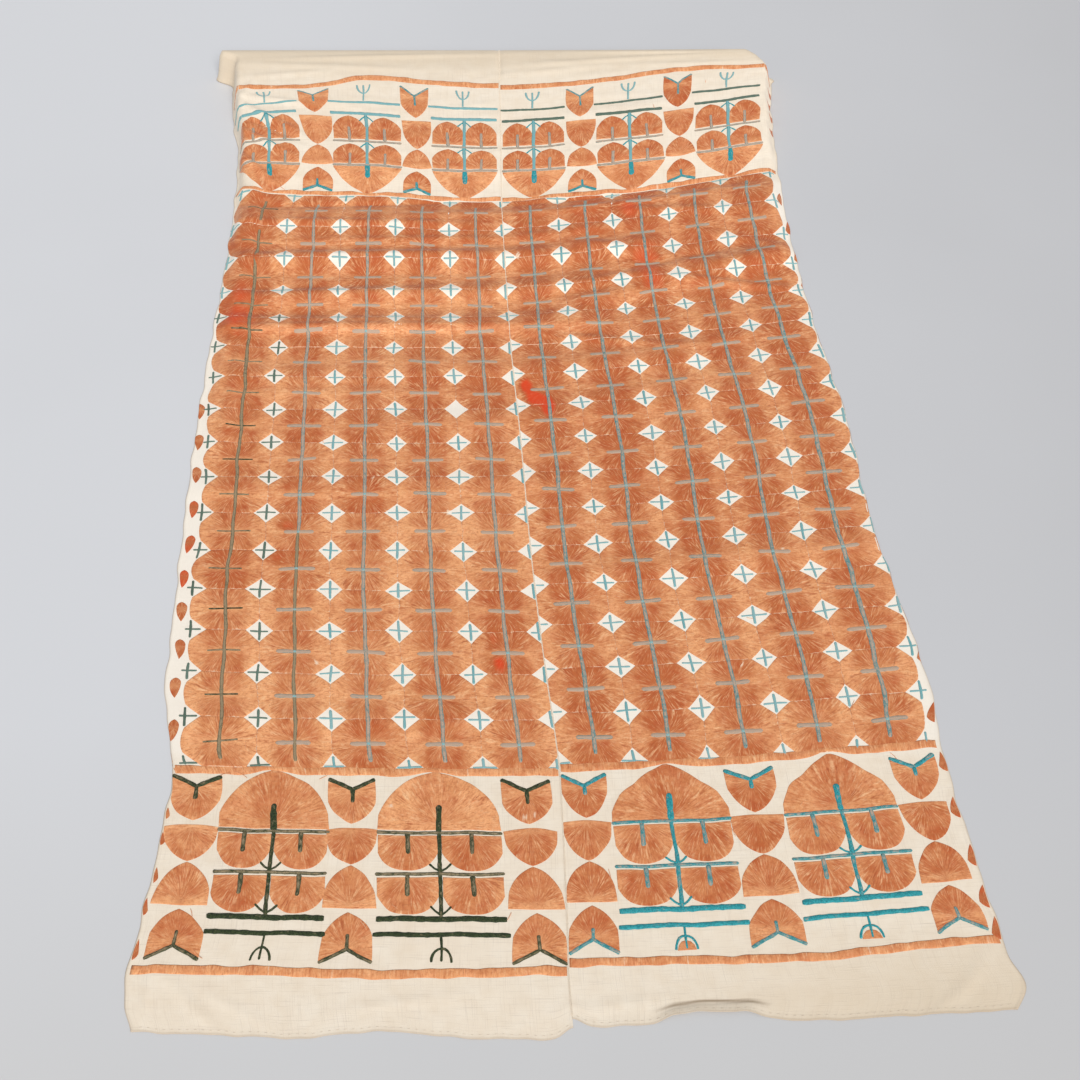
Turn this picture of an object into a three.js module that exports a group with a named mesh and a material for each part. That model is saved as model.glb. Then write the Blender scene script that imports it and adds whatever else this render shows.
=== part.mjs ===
// A phulkari shawl: two loom widths of cotton cloth sewn along a centre seam, laid out on a surface.
// Millimetres, +Z up. X runs across the shawl, Y along it, and the origin is under its middle.
import * as THREE from 'three';

const cm = 10;
const clothThickness = 1.6;
const seamGap = 0.3;
const rowsAlong = 66;
const rowsOverEnd = 8;

// The two loom widths: which way each lies from the seam, and where its near end comes along the seam
// (cm). Past `endBend` the far end turns down to the surface.
const widths = [
  { name: 'left_width', side: -1, from: 0.0, colour: 0xcf8550 },
  { name: 'right_width', side: 1, from: 1.4, colour: 0xcc7f4a },
];
const clothWidth = 64.5;
const endBend = 236.5;
const farEnd = 242.5;

// The lie of the shawl at stations along its seam (cm): where both selvages and the seam run, and how
// far the right selvage runs ahead of the seam, because that width is pulled askew.
const stations = [
  { at: 0, left: -59.0, seam: 4.8, right: 68.0, ahead: 1.8 },
  { at: 4, left: -60.3, seam: 4.5, right: 71.2, ahead: 2.8 },
  { at: 9, left: -61.1, seam: 4.2, right: 69.8, ahead: 3.0 },
  { at: 17, left: -60.4, seam: 4.1, right: 68.8, ahead: 2.8 },
  { at: 42, left: -59.9, seam: 3.2, right: 66.4, ahead: 2.8 },
  { at: 50, left: -62.0, seam: 2.4, right: 66.6, ahead: 3.2 },
  { at: 58, left: -63.9, seam: 1.4, right: 66.3, ahead: 3.6 },
  { at: 72, left: -65.0, seam: -0.2, right: 64.4, ahead: 4.1 },
  { at: 90, left: -66.4, seam: -1.9, right: 62.1, ahead: 4.8 },
  { at: 115, left: -68.0, seam: -3.8, right: 61.2, ahead: 6.4 },
  { at: 140, left: -69.0, seam: -6.0, right: 58.3, ahead: 8.0 },
  { at: 165, left: -69.5, seam: -7.6, right: 56.6, ahead: 9.6 },
  { at: 187, left: -70.5, seam: -8.8, right: 56.4, ahead: 11.0 },
  { at: 208, left: -72.5, seam: -9.3, right: 57.0, ahead: 11.0 },
  { at: 220, left: -75.4, seam: -9.7, right: 57.7, ahead: 9.6 },
  { at: 226, left: -76.3, seam: -9.9, right: 58.3, ahead: 7.4 },
  { at: 232, left: -77.2, seam: -10.0, right: 58.9, ahead: 5.0 },
  { at: 235.5, left: -78.1, seam: -10.1, right: 59.2, ahead: 2.6 },
  { at: 238, left: -81.8, seam: -10.2, right: 58.9, ahead: 1.0 },
  { at: 240.5, left: -81.6, seam: -10.2, right: 57.5, ahead: -0.5 },
  { at: 242.5, left: -80.0, seam: -10.2, right: 56.0, ahead: -1.5 },
];

// The near edge isn't straight: how far it reaches out at places across (cm from the seam, the left
// width negative), and how far in from the edge that is felt.
const nearEdge = [
  { at: -64.5, out: -0.4 },
  { at: -50, out: 0.1 },
  { at: -39, out: 0.5 },
  { at: -32, out: -0.3 },
  { at: -25, out: -0.4 },
  { at: -17, out: 0.4 },
  { at: -8, out: 0.6 },
  { at: -2.6, out: 0.5 },
  { at: 0, out: -0.9 },
  { at: 2.5, out: 0.2 },
  { at: 6, out: 0.3 },
  { at: 11.5, out: 0.1 },
  { at: 15, out: -1.2 },
  { at: 25, out: -1.3 },
  { at: 29, out: -0.2 },
  { at: 36, out: 0.4 },
  { at: 48, out: 0.2 },
  { at: 64.5, out: 0.0 },
];
const nearEdgeReach = 7;
const aheadPower = 1.3;

// The far end stands up in a soft swell behind a crease (height in mm at places along, in cm).
const endSwell = [
  { at: 152, height: 0 },
  { at: 170, height: 10 },
  { at: 181, height: 20 },
  { at: 187.5, height: 13 },
  { at: 199, height: 36 },
  { at: 212, height: 57 },
  { at: 226, height: 75 },
  { at: 235, height: 85 },
  { at: 238.6, height: 82 },
  { at: 240.6, height: 58 },
  { at: 242.5, height: 6 },
];

// At the selvages that swell falls to the surface over these widths (cm). The right corner falls over
// more: its fall grows by \`more\` past \`from\`.
const swellFall = 2.6;
const cornerFall = { more: 5, from: 226, over: 12 };

// Ripples of the cloth. Each is a soft ridge that crosses the seam line at `at` and leans by `slant`
// (cm along for each cm across). It runs from one place across to another (cm from the seam, the left
// width negative), `reach` wide to each side (cm), and rises by `rise` (mm).
const ripples = [
  { at: 168.5, slant: 0.02, rise: 8, reach: 5.0, from: -60, to: 34 },
  { at: 158.5, slant: 0.06, rise: 5, reach: 4.5, from: -58, to: 62 },
  { at: 148.5, slant: 0.01, rise: 7, reach: 5.5, from: -62, to: 20 },
  { at: 151.0, slant: 0.16, rise: 6, reach: 5.0, from: 12, to: 63 },
  { at: 134.5, slant: 0.03, rise: 4, reach: 5.0, from: -60, to: 40 },
  { at: 121.0, slant: 0.08, rise: 3, reach: 5.0, from: -30, to: 60 },
  { at: 104.0, slant: 0.02, rise: 3, reach: 5.0, from: -64, to: 10 },
  { at: 81.0, slant: 0.07, rise: 3, reach: 5.0, from: 4, to: 64 },
  { at: 52.0, slant: 0.0, rise: 2, reach: 4.5, from: -62, to: -8 },
];
const rippleEnd = 9;

// A long tuck lies just inside the left selvage, and the near edge of the right width turns up.
const sideTuck = { across: -59.5, reach: 4.2, rise: 7, from: 112, to: 196, end: 16 };
const turnedEdge = { from: 13, to: 27, end: 4, rise: 5, reach: 4.5 };

const smooth = (q) => {
  const c = Math.min(1, Math.max(0, q));
  return c * c * (3 - 2 * c);
};
const bell = (q) => (Math.abs(q) < 1 ? (1 + Math.cos(Math.PI * q)) / 2 : 0);
const between = (q, from, to, end) => smooth((q - from) / end + 0.5) * smooth((to - q) / end + 0.5);

// A smooth curve through the rows of a table: a cubic whose slope at each row is that of its
// neighbours.
function readTable(rows, column, at) {
  const last = rows.length - 1;
  const slope = (i) => {
    const a = rows[Math.max(0, i - 1)];
    const b = rows[Math.min(last, i + 1)];
    return (b[column] - a[column]) / (b.at - a.at);
  };
  if (at <= rows[0].at) return rows[0][column];
  if (at >= rows[last].at) return rows[last][column];
  const i = rows.findIndex((row) => row.at > at) - 1;
  const gap = rows[i + 1].at - rows[i].at;
  const q = (at - rows[i].at) / gap;
  const rise = rows[i + 1][column] - rows[i][column];
  const bendA = slope(i) * gap - rise;
  const bendB = rise - slope(i + 1) * gap;
  return rows[i][column] + rise * q + q * (1 - q) * (bendA * (1 - q) + bendB * q);
}

// Height of the cloth's underside (mm) at a place across (cm from the seam) and along it (cm).
function undersideAt(across, along) {
  const inset = clothWidth - Math.abs(across);
  const corner = across > 0 ? cornerFall.more * smooth((along - cornerFall.from) / cornerFall.over) : 0;
  const fall = swellFall + corner;
  let height = readTable(endSwell, 'height', along) * smooth(inset / fall);
  for (const r of ripples) {
    const off = along - r.at - r.slant * across;
    height += r.rise * bell(off / r.reach) * between(across, r.from, r.to, rippleEnd);
  }
  const tuckLength = between(along, sideTuck.from, sideTuck.to, sideTuck.end);
  height += sideTuck.rise * bell((across - sideTuck.across) / sideTuck.reach) * tuckLength;
  const turned = between(across, turnedEdge.from, turnedEdge.to, turnedEdge.end);
  height += turnedEdge.rise * turned * bell(along / turnedEdge.reach);
  return Math.max(0, height);
}

// Where a point of a width lies in plan (cm), at a place along the seam.
function planAt(width, across, along) {
  const seam = readTable(stations, 'seam', along);
  const selvage = readTable(stations, width.side < 0 ? 'left' : 'right', along);
  const share = across / clothWidth;
  const ahead = width.side < 0 ? 0 : readTable(stations, 'ahead', along) * share ** aheadPower;
  const out = readTable(nearEdge, 'out', width.side * across) * bell(along / nearEdgeReach);
  return { x: seam + (selvage - seam) * share, y: along + ahead - out };
}

// The grid's places across each width (cm from the seam), closer together at the seam and the selvage.
const acrossAt = [0, 2.2, 4.4, 8.6, 12.8, 17, 21.2, 25.4, 29.6, 33.8, 38, 42.2, 46.4, 50.6, 54.8, 59, 61.9, 63.2, 64.5];
const stepsAcross = acrossAt.length - 1;

// Where row j of the grid lies along the seam (cm): even rows up to the bend, closer ones past it.
// Both widths share their rows, so they meet along the seam, but the first row is where each begins.
function rowAt(width, j) {
  if (j === 0) return width.from;
  if (j <= rowsAlong) return (endBend * j) / rowsAlong;
  return endBend + ((farEnd - endBend) * (j - rowsAlong)) / rowsOverEnd;
}

// One width as a closed sheet: its upper and under faces over one grid, joined by a wall.
function makeWidth(width) {
  const positions = [];
  const columns = stepsAcross + 1;
  const rows = rowsAlong + rowsOverEnd;
  for (const lift of [clothThickness, 0]) {
    for (let j = 0; j <= rows; j += 1) {
      const along = rowAt(width, j);
      for (let i = 0; i <= stepsAcross; i += 1) {
        const across = acrossAt[i];
        const plan = planAt(width, across, along);
        const nearSeam = (i === 0 ? 1 : 0) * width.side * (seamGap / 2);
        const height = undersideAt(width.side * across, along);
        positions.push(plan.x * cm + nearSeam, plan.y * cm, height + lift);
      }
    }
  }
  const under = columns * (rows + 1);
  const faces = [];
  const quad = (a, b, c, d) => {
    if (width.side > 0) faces.push(a, b, c, a, c, d);
    else faces.push(a, c, b, a, d, c);
  };
  for (let j = 0; j < rows; j += 1) {
    for (let i = 0; i < stepsAcross; i += 1) {
      const a = j * columns + i;
      quad(a, a + 1, a + columns + 1, a + columns);
      quad(under + a, under + a + columns, under + a + columns + 1, under + a + 1);
    }
  }
  const wall = (a, b) => quad(a, b, under + b, under + a);
  for (let i = 0; i < stepsAcross; i += 1) {
    wall(i + 1, i);
    wall(rows * columns + i, rows * columns + i + 1);
  }
  for (let j = 0; j < rows; j += 1) {
    wall(j * columns, (j + 1) * columns);
    wall((j + 1) * columns + stepsAcross, j * columns + stepsAcross);
  }
  const geometry = new THREE.BufferGeometry();
  geometry.setAttribute('position', new THREE.Float32BufferAttribute(positions, 3));
  geometry.setIndex(faces);
  geometry.computeVertexNormals();
  const material = new THREE.MeshStandardMaterial({ color: width.colour, roughness: 0.9, metalness: 0 });
  const mesh = new THREE.Mesh(geometry, material);
  mesh.name = width.name;
  return mesh;
}

const shawl = new THREE.Group();
for (const width of widths) shawl.add(makeWidth(width));

// The origin goes under the middle of the whole shawl.
const box = new THREE.Box3().setFromObject(shawl);
const middle = box.getCenter(new THREE.Vector3());
shawl.position.set(-middle.x, -middle.y, -box.min.z);
shawl.updateMatrixWorld(true);

export default shawl;
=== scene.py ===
"""A phulkari shawl: two loom widths of cotton, sewn along the middle and covered in floss stitches.

Places on the shawl are given in centimetres, in its flat pattern: `side` is the loom width (-1 left,
+1 right), `across` is counted from the seam and `along` from the near end. Heights are in millimetres.
"""

import math

import bpy
import numpy as np
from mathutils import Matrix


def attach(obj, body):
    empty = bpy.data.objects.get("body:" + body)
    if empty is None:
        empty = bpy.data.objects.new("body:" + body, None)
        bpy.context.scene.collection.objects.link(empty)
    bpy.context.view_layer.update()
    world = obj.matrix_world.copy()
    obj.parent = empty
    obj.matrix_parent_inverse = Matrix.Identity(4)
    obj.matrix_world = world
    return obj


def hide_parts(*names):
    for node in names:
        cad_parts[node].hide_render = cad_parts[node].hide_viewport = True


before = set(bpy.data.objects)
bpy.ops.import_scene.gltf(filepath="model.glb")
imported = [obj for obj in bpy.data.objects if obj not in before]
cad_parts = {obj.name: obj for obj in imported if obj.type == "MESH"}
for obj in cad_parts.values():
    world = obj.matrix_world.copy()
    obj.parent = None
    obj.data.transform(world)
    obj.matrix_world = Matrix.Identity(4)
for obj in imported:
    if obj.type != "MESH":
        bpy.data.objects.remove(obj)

TAU = math.tau
CM = 0.01
MM = 0.001
SIDES = {-1: "left", 1: "right"}

# Seeds of what is uneven by hand. Most get the side's number added.
SEED = {
    "selvage": 31, "near edge": 41, "drift across": 53, "drift along": 59, "diamonds": 70, "field": 80,
    "seam": 91, "loose ends": 95, "stems": 300, "dark stem": 330, "bars": 400, "knots": 500, "crosses": 600,
    "cells": 1000, "borders": 2000, "leaves": 3100, "teeth": 3200, "small creases": 11,
}

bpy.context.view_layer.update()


def table(names, *rows):
    """Rows of numbers as one array for each named column."""
    return {name: np.array(column, float) for name, column in zip(names.split(), zip(*rows))}


def each(rows):
    """The rows of a table, one by one, with their names."""
    return [dict(zip(rows, values)) for values in zip(*rows.values())]


# ---------------------------------------------------------------------------------- the camera

CAMERA_HEIGHT = 1.936    # metres over the surface
CAMERA_BACK = 0.611      # metres back from the near end of the left width
CAMERA_TILT = 52.0       # degrees below the horizon
CAMERA_LENS = 44.19      # on a 36 mm sensor


# ------------------------------------------------------------------------ how the shawl lies

WIDTH = 64.5
NEAR_END = {-1: 0.0, 1: 1.4}
FAR_END = 242.5
AHEAD_POWER = 1.3

# Both selvages, the seam, and how far the right selvage runs ahead of the seam.
STATIONS = table(
    "at left seam right ahead",
    (0, -59.0, 4.8, 68.0, 1.8),
    (4, -60.3, 4.5, 71.2, 2.8),
    (9, -61.1, 4.2, 69.8, 3.0),
    (17, -60.4, 4.1, 68.8, 2.8),
    (42, -59.9, 3.2, 66.4, 2.8),
    (50, -62.0, 2.4, 66.6, 3.2),
    (58, -63.9, 1.4, 66.3, 3.6),
    (72, -65.0, -0.2, 64.4, 4.1),
    (90, -66.4, -1.9, 62.1, 4.8),
    (115, -68.0, -3.8, 61.2, 6.4),
    (140, -69.0, -6.0, 58.3, 8.0),
    (165, -69.5, -7.6, 56.6, 9.6),
    (187, -70.5, -8.8, 56.4, 11.0),
    (208, -72.5, -9.3, 57.0, 11.0),
    (220, -75.4, -9.7, 57.7, 9.6),
    (226, -76.3, -9.9, 58.3, 7.4),
    (232, -77.2, -10.0, 58.9, 5.0),
    (235.5, -78.1, -10.1, 59.2, 2.6),
    (238, -81.8, -10.2, 58.9, 1.0),
    (240.5, -81.6, -10.2, 57.5, -0.5),
    (242.5, -80.0, -10.2, 56.0, -1.5),
)

# How far the near edge reaches out, at places across (the left width negative).
NEAR_EDGE = table(
    "at out",
    (-64.5, -0.4), (-50, 0.1), (-39, 0.5), (-32, -0.3), (-25, -0.4), (-17, 0.4), (-8, 0.6), (-2.6, 0.5),
    (0, -0.9), (2.5, 0.2), (6, 0.3), (11.5, 0.1), (15, -1.2), (25, -1.3), (29, -0.2), (36, 0.4), (48, 0.2),
    (64.5, 0.0),
)
NEAR_EDGE_REACH = 7

# The far end stands up in a soft swell behind a crease, and turns down to the surface.
END_SWELL = table(
    "at height",
    (152, 0), (170, 10), (181, 20), (187.5, 13), (199, 36), (212, 57), (226, 75), (235, 85),
    (238.6, 82), (240.6, 58), (242.5, 6),
)

# The swell falls to the surface over this width at the selvages, and over more at the far right corner.
SWELL_FALL = 2.6
CORNER_FALL = {"more": 5, "start": 226, "over": 12}

# Soft ridges that cross the seam line at `at` and lean by `slant`, from one place across to another, with
# the left width negative.
RIPPLES = table(
    "at slant rise reach start stop",
    (168.5, 0.02, 10, 4.4, -60, 34),
    (158.5, 0.06, 8, 4.0, -58, 62),
    (148.5, 0.01, 9, 4.6, -62, 20),
    (151.0, 0.16, 8, 4.4, 12, 63),
    (134.5, 0.03, 4, 5.0, -60, 40),
    (121.0, 0.08, 3, 5.0, -30, 60),
    (104.0, 0.02, 3, 5.0, -64, 10),
    (81.0, 0.07, 3, 5.0, 4, 64),
    (52.0, 0.0, 2, 4.5, -62, -8),
)
RIPPLE_END = 9           # a ripple comes and goes over this width

# The soft roll beside the left selvage, and the short stretch of the near right edge that is turned up; its
# `line` is where painted shade darkens the crease of the fold.
SIDE_TUCK = {"across": -59.5, "reach": 4.2, "rise": 7, "start": 112, "stop": 196, "end": 16}
TURNED_EDGE = {"start": 13, "stop": 27, "end": 4, "rise": 5, "reach": 4.5, "line": 3.6}

# Sharper creases of the cloth: the middle of each, with the left width negative, the way that it runs
# (degrees from straight across), its length, its reach to each side and its rise, negative for a furrow.
CREASES = table(
    "across along turn length reach rise",
    # across the left width
    (-28, 146.6, 0.5, 80, 1.7, 7.0),
    (-34, 150.6, 0, 60, 1.8, -2.5),
    (-38, 157.0, 1, 54, 2.6, 5.0),
    (-26, 163.2, 1, 62, 1.8, -2.5),
    (-30, 168.6, 1, 58, 2.3, 6.0),
    (-24, 174.0, 0.5, 50, 1.6, 4.4),
    (-36, 179.4, -1, 58, 1.8, 6.0),
    (-10, 141.5, 2, 36, 2.0, -1.6),
    (-38, 128.0, 1, 46, 2.4, 1.8),
    (-20, 137.0, -4, 22, 2.2, 1.6),
    (-12, 182.4, 3, 30, 1.8, 3.2),
    # across the right width
    (20, 141.6, -12, 34, 1.6, 4.6),
    (48, 154.6, -14, 34, 1.7, 6.5),
    (34, 163.0, 9, 50, 2.2, -3.4),
    (26, 168.0, -20, 36, 2.4, 4.5),
    (12, 145.6, 2, 26, 2.0, 3.0),
    (14, 158.4, 3, 30, 2.6, 2.8),
    (12, 175.0, 4, 30, 2.2, 3.6),
    (40, 178.5, -8, 34, 2.0, 4.5),
    (24, 182.6, 2, 54, 1.8, 6.0),
    (46, 139.0, 6, 34, 2.4, 2.4),
    (30, 127.5, 7, 44, 2.6, 2.0),
    (54, 167.0, -24, 26, 2.0, 3.6),
    # the crease where the end stands up, and the folds of the plain band
    (-34, 186.6, 2, 62, 1.3, -5.0),
    (28, 187.2, 3, 58, 1.3, -5.0),
    (-40, 231.5, -3, 42, 1.5, 3.0),
    (-28, 235.2, 2, 50, 1.3, 3.4),
    (-50, 228.8, 6, 22, 1.2, 2.6),
    (26, 233.0, 3, 44, 1.5, 2.6),
    (44, 229.6, -3, 30, 1.3, 2.2),
    (12, 229.4, 5, 24, 1.4, 2.0),
    (34, 236.4, -2, 30, 1.2, 2.4),
    (0.0, 233.0, 90, 12, 1.1, -4.0),
    # faint folds of the raised border
    (-20, 207.0, 4, 50, 3.2, 1.6),
    (24, 199.0, -5, 50, 3.0, 1.6),
    (30, 214.0, 6, 56, 3.0, 1.5),
    (-30, 219.0, -3, 40, 2.6, 1.6),
    # the crumpled corner at the far left
    (-56, 214.0, -38, 22, 1.5, 6.0),
    (-58, 206.5, -34, 20, 1.4, 5.5),
    (-55, 209.8, -30, 18, 1.2, -4.0),
    (-60, 198.5, -48, 16, 1.4, 5.0),
    (-61, 190.5, -20, 14, 1.6, 4.5),
    (-53, 219.5, -12, 20, 1.3, 4.0),
    (-61.5, 220.5, 60, 12, 1.3, 4.5),
    # beside the left tuck and at the near corners
    (-57.0, 170.0, 92, 44, 1.3, -3.6),
    (-59.5, 136.0, 88, 44, 1.2, -3.2),
    (-61.6, 4.5, 78, 12, 1.2, 2.0),
    (-55.5, 5.0, -50, 13, 1.4, 1.6),
    (-49.0, 4.0, -28, 10, 1.2, 1.0),
    (57.0, 5.5, 38, 12, 1.6, 1.3),
    (6.0, 4.2, 6, 16, 1.4, 0.9),
    (-6.5, 4.0, 82, 9, 1.0, 0.8),
    (10.5, 5.0, 70, 10, 1.0, 0.9),
    (20.0, 3.4, 3, 17, 0.9, -2.0),
    (-24.0, 4.6, 8, 22, 1.5, 0.8),
)

CREASE_FADE = 1.25       # its length over this, to each side of its middle, is where a crease has gone

# Small uneven creases all over, more of them and higher towards the far end.
SMALL_CREASES = 230

SMOOTH_MARGIN = 3.0      # creases die away over this width at the cloth's edges
FLOOR_GAP = 0.3          # of the cloth's underside over the surface, where it is lowest (mm)


def smooth(q):
    """A soft step from 0 at q = 0 to 1 at q = 1: three times the square less twice the cube."""
    c = np.clip(q, 0, 1)
    return c * c * (3 - 2 * c)


def bell(q):
    """One wave of a cosine, raised: 1 at q = 0, and 0 from q = 1 on either side."""
    return np.where(np.abs(q) < 1, (1 + np.cos(math.pi * np.clip(q, -1, 1))) / 2, 0)


def between(q, start, stop, end):
    """1 between start and stop and 0 beyond them, with a soft step as wide as `end` at each."""
    return smooth((q - start) / end + 0.5) * smooth((stop - q) / end + 0.5)


def quarter_circle(q):
    """The height of a quarter circle that starts upright at q = 0 and is level at q = 1."""
    return np.sqrt(1 - (1 - np.clip(q, 0, 1)) ** 2)


def read(rows, column, at):
    """A smooth curve through a table: a cubic whose slope at each row is that of its neighbours."""
    places, values = rows["at"], rows[column]
    at = np.clip(at, places[0], places[-1])
    last = len(places) - 1
    i = np.clip(np.searchsorted(places, at, side="right") - 1, 0, last - 1)
    before = np.clip(np.arange(last + 1) - 1, 0, last)
    after = np.clip(np.arange(last + 1) + 1, 0, last)
    slope = (values[after] - values[before]) / (places[after] - places[before])
    gap = places[i + 1] - places[i]
    q = (at - places[i]) / gap
    rise = values[i + 1] - values[i]
    bend_a = slope[i] * gap - rise
    bend_b = rise - slope[i + 1] * gap
    return values[i] + rise * q + q * (1 - q) * (bend_a * (1 - q) + bend_b * q)


def wobble(at, seed, length, size):
    """A slow uneven wave: three sines of near lengths, whose phases come from the seed."""
    phases = np.random.default_rng(seed).uniform(0, TAU, 3)
    lengths = length * np.array([1.0, 0.63, 0.41])
    weights = np.array([0.5, 0.3, 0.2])
    angles = TAU * np.asarray(at, float)[..., None] / lengths + phases
    return size * (weights * np.sin(angles)).sum(-1)


def small_creases():
    """A table like CREASES, of seeded creases that lie mostly across the shawl."""
    rng = np.random.default_rng(SEED["small creases"])
    far = rng.uniform(0, 1, SMALL_CREASES) ** 0.6
    turn = np.where(rng.uniform(size=SMALL_CREASES) < 0.8, 12, 55) * rng.normal(size=SMALL_CREASES)
    return {
        "across": rng.uniform(-62, 62, SMALL_CREASES),
        "along": 8 + 224 * far,
        "turn": turn,
        "length": rng.uniform(7, 24, SMALL_CREASES),
        "reach": rng.uniform(1.3, 3.2, SMALL_CREASES),
        "rise": rng.uniform(0.35, 1.0, SMALL_CREASES) * (0.4 + 1.5 * far**3),
    }


def crease_height(across, along, rows):
    """The sum of creases (mm). Each is a bell across its line, and fades out at both ends of it."""
    height = np.zeros(np.broadcast(across, along).shape)
    for crease in each(rows):
        angle = math.radians(crease["turn"])
        dx, dy = across - crease["across"], along - crease["along"]
        run = dx * math.cos(angle) + dy * math.sin(angle)
        off = dy * math.cos(angle) - dx * math.sin(angle)
        fade = bell(run / crease["length"] * CREASE_FADE)
        height += crease["rise"] * bell(off / crease["reach"]) * fade
    return height


def underside_height(across, along):
    """Height of the cloth's underside (mm), at a signed place across."""
    inset = WIDTH - np.abs(across)
    corner = smooth((along - CORNER_FALL["start"]) / CORNER_FALL["over"])
    fall = SWELL_FALL + np.where(across > 0, CORNER_FALL["more"] * corner, 0)
    height = read(END_SWELL, "height", along) * smooth(inset / fall)
    for ripple in each(RIPPLES):
        off = along - ripple["at"] - ripple["slant"] * across
        fade = between(across, ripple["start"], ripple["stop"], RIPPLE_END)
        height = height + ripple["rise"] * bell(off / ripple["reach"]) * fade
    t = SIDE_TUCK
    length = between(along, t["start"], t["stop"], t["end"])
    height = height + t["rise"] * bell((across - t["across"]) / t["reach"]) * length
    t = TURNED_EDGE
    turned = between(across, t["start"], t["stop"], t["end"])
    height = height + t["rise"] * turned * bell(along / t["reach"])
    fine = crease_height(across, along, CREASES) + crease_height(across, along, small_creases())
    to_edge = np.minimum(inset, np.minimum(along + 1.0, (FAR_END - along) * 0.6))
    return np.maximum(0, height + fine * smooth(to_edge / SMOOTH_MARGIN)) + FLOOR_GAP


def plan_at(side, across, along, uneven=True):
    """Where a place lies in plan (cm), before the whole is centred. Places across run evenly from seam to
    selvage. The right selvage runs ahead, the near edge reaches out, and both may be a little uneven."""
    seam, selvage = read(STATIONS, "seam", along), read(STATIONS, SIDES[side], along)
    share = across / WIDTH
    ahead = read(STATIONS, "ahead", along) * share**AHEAD_POWER if side > 0 else 0.0
    near = bell(along / NEAR_EDGE_REACH)
    x = seam + (selvage - seam) * share
    y = along + ahead - read(NEAR_EDGE, "out", side * across) * near
    if uneven:
        x = x + wobble(along, SEED["selvage"] + side, 13, 0.28) * share**4
        y = y - wobble(across, SEED["near edge"] + side, 9, 0.16) * near
    return x, y


def plan_middle():
    """The middle of the shawl's box in plan, which the model's frame has at its origin. The places are
    those of the model's own grid, whose edges are even."""
    across_at = np.concatenate([[0, 2.2], np.linspace(4.4, 59, 14), [61.9, 63.2, WIDTH]])
    along_at = np.append(np.linspace(0, 236.5, 67), np.linspace(236.5, FAR_END, 9)[1:])
    across, along = np.meshgrid(across_at, along_at)
    low, high = [], []
    for side in SIDES:
        x, y = plan_at(side, across, along, uneven=False)
        y = np.where(along < NEAR_END[side], np.nan, y)
        low.append((np.nanmin(x), np.nanmin(y)))
        high.append((np.nanmax(x), np.nanmax(y)))
    return (np.min(low, axis=0) + np.max(high, axis=0)) / 2


MIDDLE = plan_middle()
MAP_STEP = 0.3           # of the grid over which the lie is worked out (cm)


class Lie:
    """How one width lies: its underside (m) and its upward normal, worked out once over an even grid and
    read between its points in straight lines."""

    def __init__(self, side):
        self.side = side
        self.start = np.array([0.0, NEAR_END[side]])
        self.size = np.array([WIDTH, FAR_END - NEAR_END[side]])
        self.cells = np.round(self.size / MAP_STEP).astype(int)
        across_at = np.linspace(0, WIDTH, self.cells[0] + 1)
        along_at = np.linspace(NEAR_END[side], FAR_END, self.cells[1] + 1)
        across, along = np.meshgrid(across_at, along_at)
        x, y = plan_at(side, across, along)
        z = underside_height(side * across, along)
        base = np.stack([(x - MIDDLE[0]) * CM, (y - MIDDLE[1]) * CM, z * MM], axis=-1)
        normal = side * np.cross(np.gradient(base, axis=1), np.gradient(base, axis=0))
        normal /= np.linalg.norm(normal, axis=-1, keepdims=True)
        self.map = np.concatenate([base, normal], axis=-1)

    def at(self, across, along, lift):
        """Points `lift` (mm) off the underside."""
        place = (np.stack([across, along], axis=-1) - self.start) / self.size * self.cells
        place = np.clip(place, 0, self.cells - 1e-9)
        i, j = np.moveaxis(place.astype(int), -1, 0)
        p, q = np.moveaxis(place - place.astype(int), -1, 0)[..., None]
        m = self.map
        near = m[j, i] * (1 - p) + m[j, i + 1] * p
        far = m[j + 1, i] * (1 - p) + m[j + 1, i + 1] * p
        found = near * (1 - q) + far * q
        return found[..., :3] + found[..., 3:] * (lift * MM)[..., None]


LIE = {side: Lie(side) for side in SIDES}


# ------------------------------------------------------------------------------ the cotton cloth

CLOTH_THICKNESS = 0.9
HEM = {"width": 0.6, "rise": 0.35}
SELVAGE = {"place": 0.3, "reach": 0.3, "rise": 0.7}
SEAM_RIDGE = {"place": 0.12, "reach": 0.4, "rise": 0.3}
EDGE_ROUND = 0.12
SEAM_EDGE_ROUND = 0.03
# Painted shade along the cloth's outer edges: how dark at most, and how far in it reaches (cm).
EDGE_PAINTED_SHADE = {"most": 0.5, "reach": 0.4}

# Where the cloth's grid lines run, with the step after each: closer at the edges, hems and ripples.
ACROSS_STOPS = (
    (0, 0.03), (0.03, 0.07), (0.1, 0.1), (0.6, 0.7), (63.3, 0.3), (64.2, 0.1), (64.4, 0.05), (WIDTH, 0),
)
ALONG_STOPS = (
    (6, 0.75), (138, 0.55), (182, 0.42), (192, 0.66), (235, 0.4), (FAR_END - 0.12, 0.06), (FAR_END, 0),
)


def cloth_thickness(side, across, along):
    """Thickness of the cloth (mm): more in the turned hems, the corded selvage and the seam."""
    to_selvage = WIDTH - across
    to_end = np.minimum(along - NEAR_END[side], FAR_END - along)
    hem = HEM["rise"] * smooth((HEM["width"] - to_end) / 0.15 + 0.5)
    selvage = SELVAGE["rise"] * bell((to_selvage - SELVAGE["place"]) / SELVAGE["reach"])
    seam = SEAM_RIDGE["rise"] * bell((across - SEAM_RIDGE["place"]) / SEAM_RIDGE["reach"])
    return CLOTH_THICKNESS + hem + selvage + seam


def steps(*stops):
    """Places that run through the stops, given as (stop, step after it) pairs."""
    runs = []
    for (start, step), (stop, _) in zip(stops, stops[1:]):
        count = max(1, round((stop - start) / step))
        runs.append(np.linspace(start, stop, count, endpoint=False))
    return np.append(np.concatenate(runs), stops[-1][0])


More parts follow.
